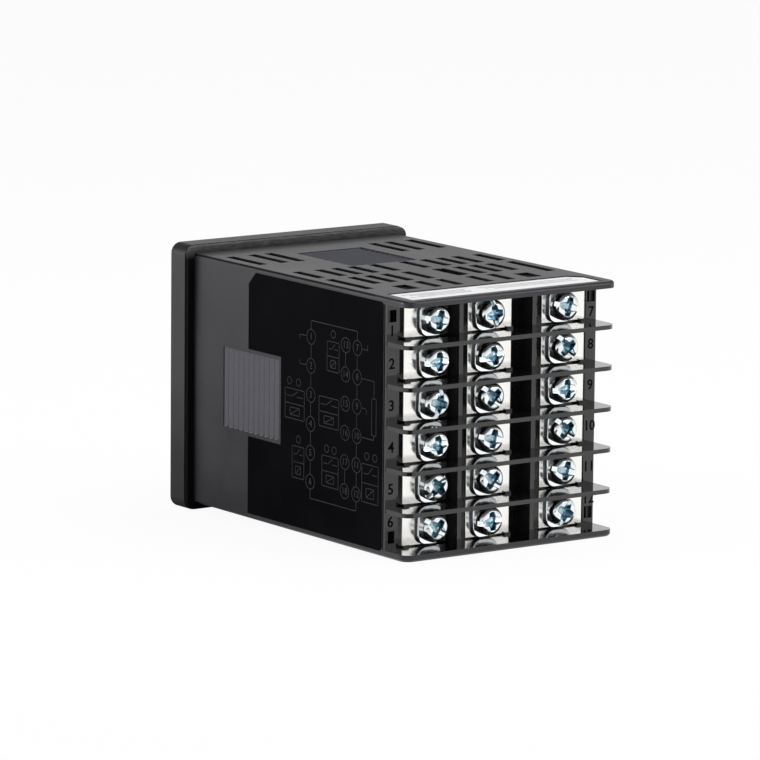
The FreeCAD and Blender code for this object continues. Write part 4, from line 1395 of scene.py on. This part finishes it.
# %% Lines on the strip
FIRST_LINE = 86.4
LINE_TALL = 0.45
INDENT = 0.8
SHORTER = 1.7
# Each group: its left and right edge, the number of its lines, and their step.
LINE_GROUPS = ((8.0, 28.0, 4, 1.35), (-26.5, 4.0, 3, 1.5))
strip_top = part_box("strip_label")[1].z / MM
strip_bm = bmesh.new()
for left, right, lines, step in LINE_GROUPS:
    for line in range(lines):
        start = left + INDENT * (line % 2)
        end = right - SHORTER * (line % 3)
        middle = FIRST_LINE + line * step + LINE_TALL / 2
        bar = slab(strip_bm, end - start, LINE_TALL, INK_THICK)
        move(strip_bm, bar, (start + end) / 2, middle, strip_top + INK_THICK / 2)
finish_piece("strip_fields", mesh_from(strip_bm, "strip_fields"), [strip_ink])

# %% [markdown]
# ## Unlit digits behind the lens
# The front is away from the camera, but it is finished too. Each digit leans a little and has seven
# bars with pointed ends, made from cubes whose edges along the depth are bevelled.

# %% Seven-segment digits
DIGITS = 4
DIGIT_LEAN = math.tan(math.radians(8))
DIGIT_WIDE = 0.5
BAR_SHARE = 0.13
BAR_LEAST = 0.35
POINTED = 0.45
# Each module with the share of its height that its digits take.
MODULES = (("digit_module_count", 0.66), ("digit_module_preset", 0.56))


def segment(bm, across, up, long, wide, upright, face):
    edges = {edge for vert in slab(bm, long, INK_THICK, wide) for edge in vert.link_edges}
    through = [edge for edge in edges if edge.verts[0].co.y * edge.verts[1].co.y < 0]
    cut = bevel(bm, through, POINTED * wide, 1)
    whole = list({vert for end in cut for vert in end.verts})
    if upright:
        bmesh.ops.rotate(bm, verts=whole, matrix=Matrix.Rotation(math.radians(90), 3, "Y"))
    move(bm, whole, across, face - INK_THICK / 2, up)


def digit(bm, across, up, wide, tall, face):
    bar = BAR_SHARE * wide + BAR_LEAST
    for level in (-0.5, 0.0, 0.5):
        leaning = across + level * tall * DIGIT_LEAN
        segment(bm, leaning, up + level * tall, wide - bar, bar, False, face)
    for side in (-0.5, 0.5):
        for level in (-0.25, 0.25):
            leaning = across + side * wide + level * tall * DIGIT_LEAN
            segment(bm, leaning, up + level * tall, tall / 2 - bar, bar, True, face)


digits_bm = bmesh.new()
for name, share in MODULES:
    low, high = [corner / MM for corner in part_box(name)]
    pitch = (high.x - low.x) / DIGITS
    tall = share * (high.z - low.z)
    for place in range(DIGITS):
        across = low.x + (place + 0.5) * pitch
        digit(digits_bm, across, (low.z + high.z) / 2, DIGIT_WIDE * tall, tall, low.y)
finish_piece("digit_bars", mesh_from(digits_bm, "digit_bars"), [digit_segment])

# %% [markdown]
# ## Sizes and the end
# The box of the visual model is printed in millimetres. The visual model has to stay inside
# the CAD box.

# %% Print the size
low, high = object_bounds()
print("visual box in mm:", [round((b - a) / MM, 2) for a, b in zip(low, high)])
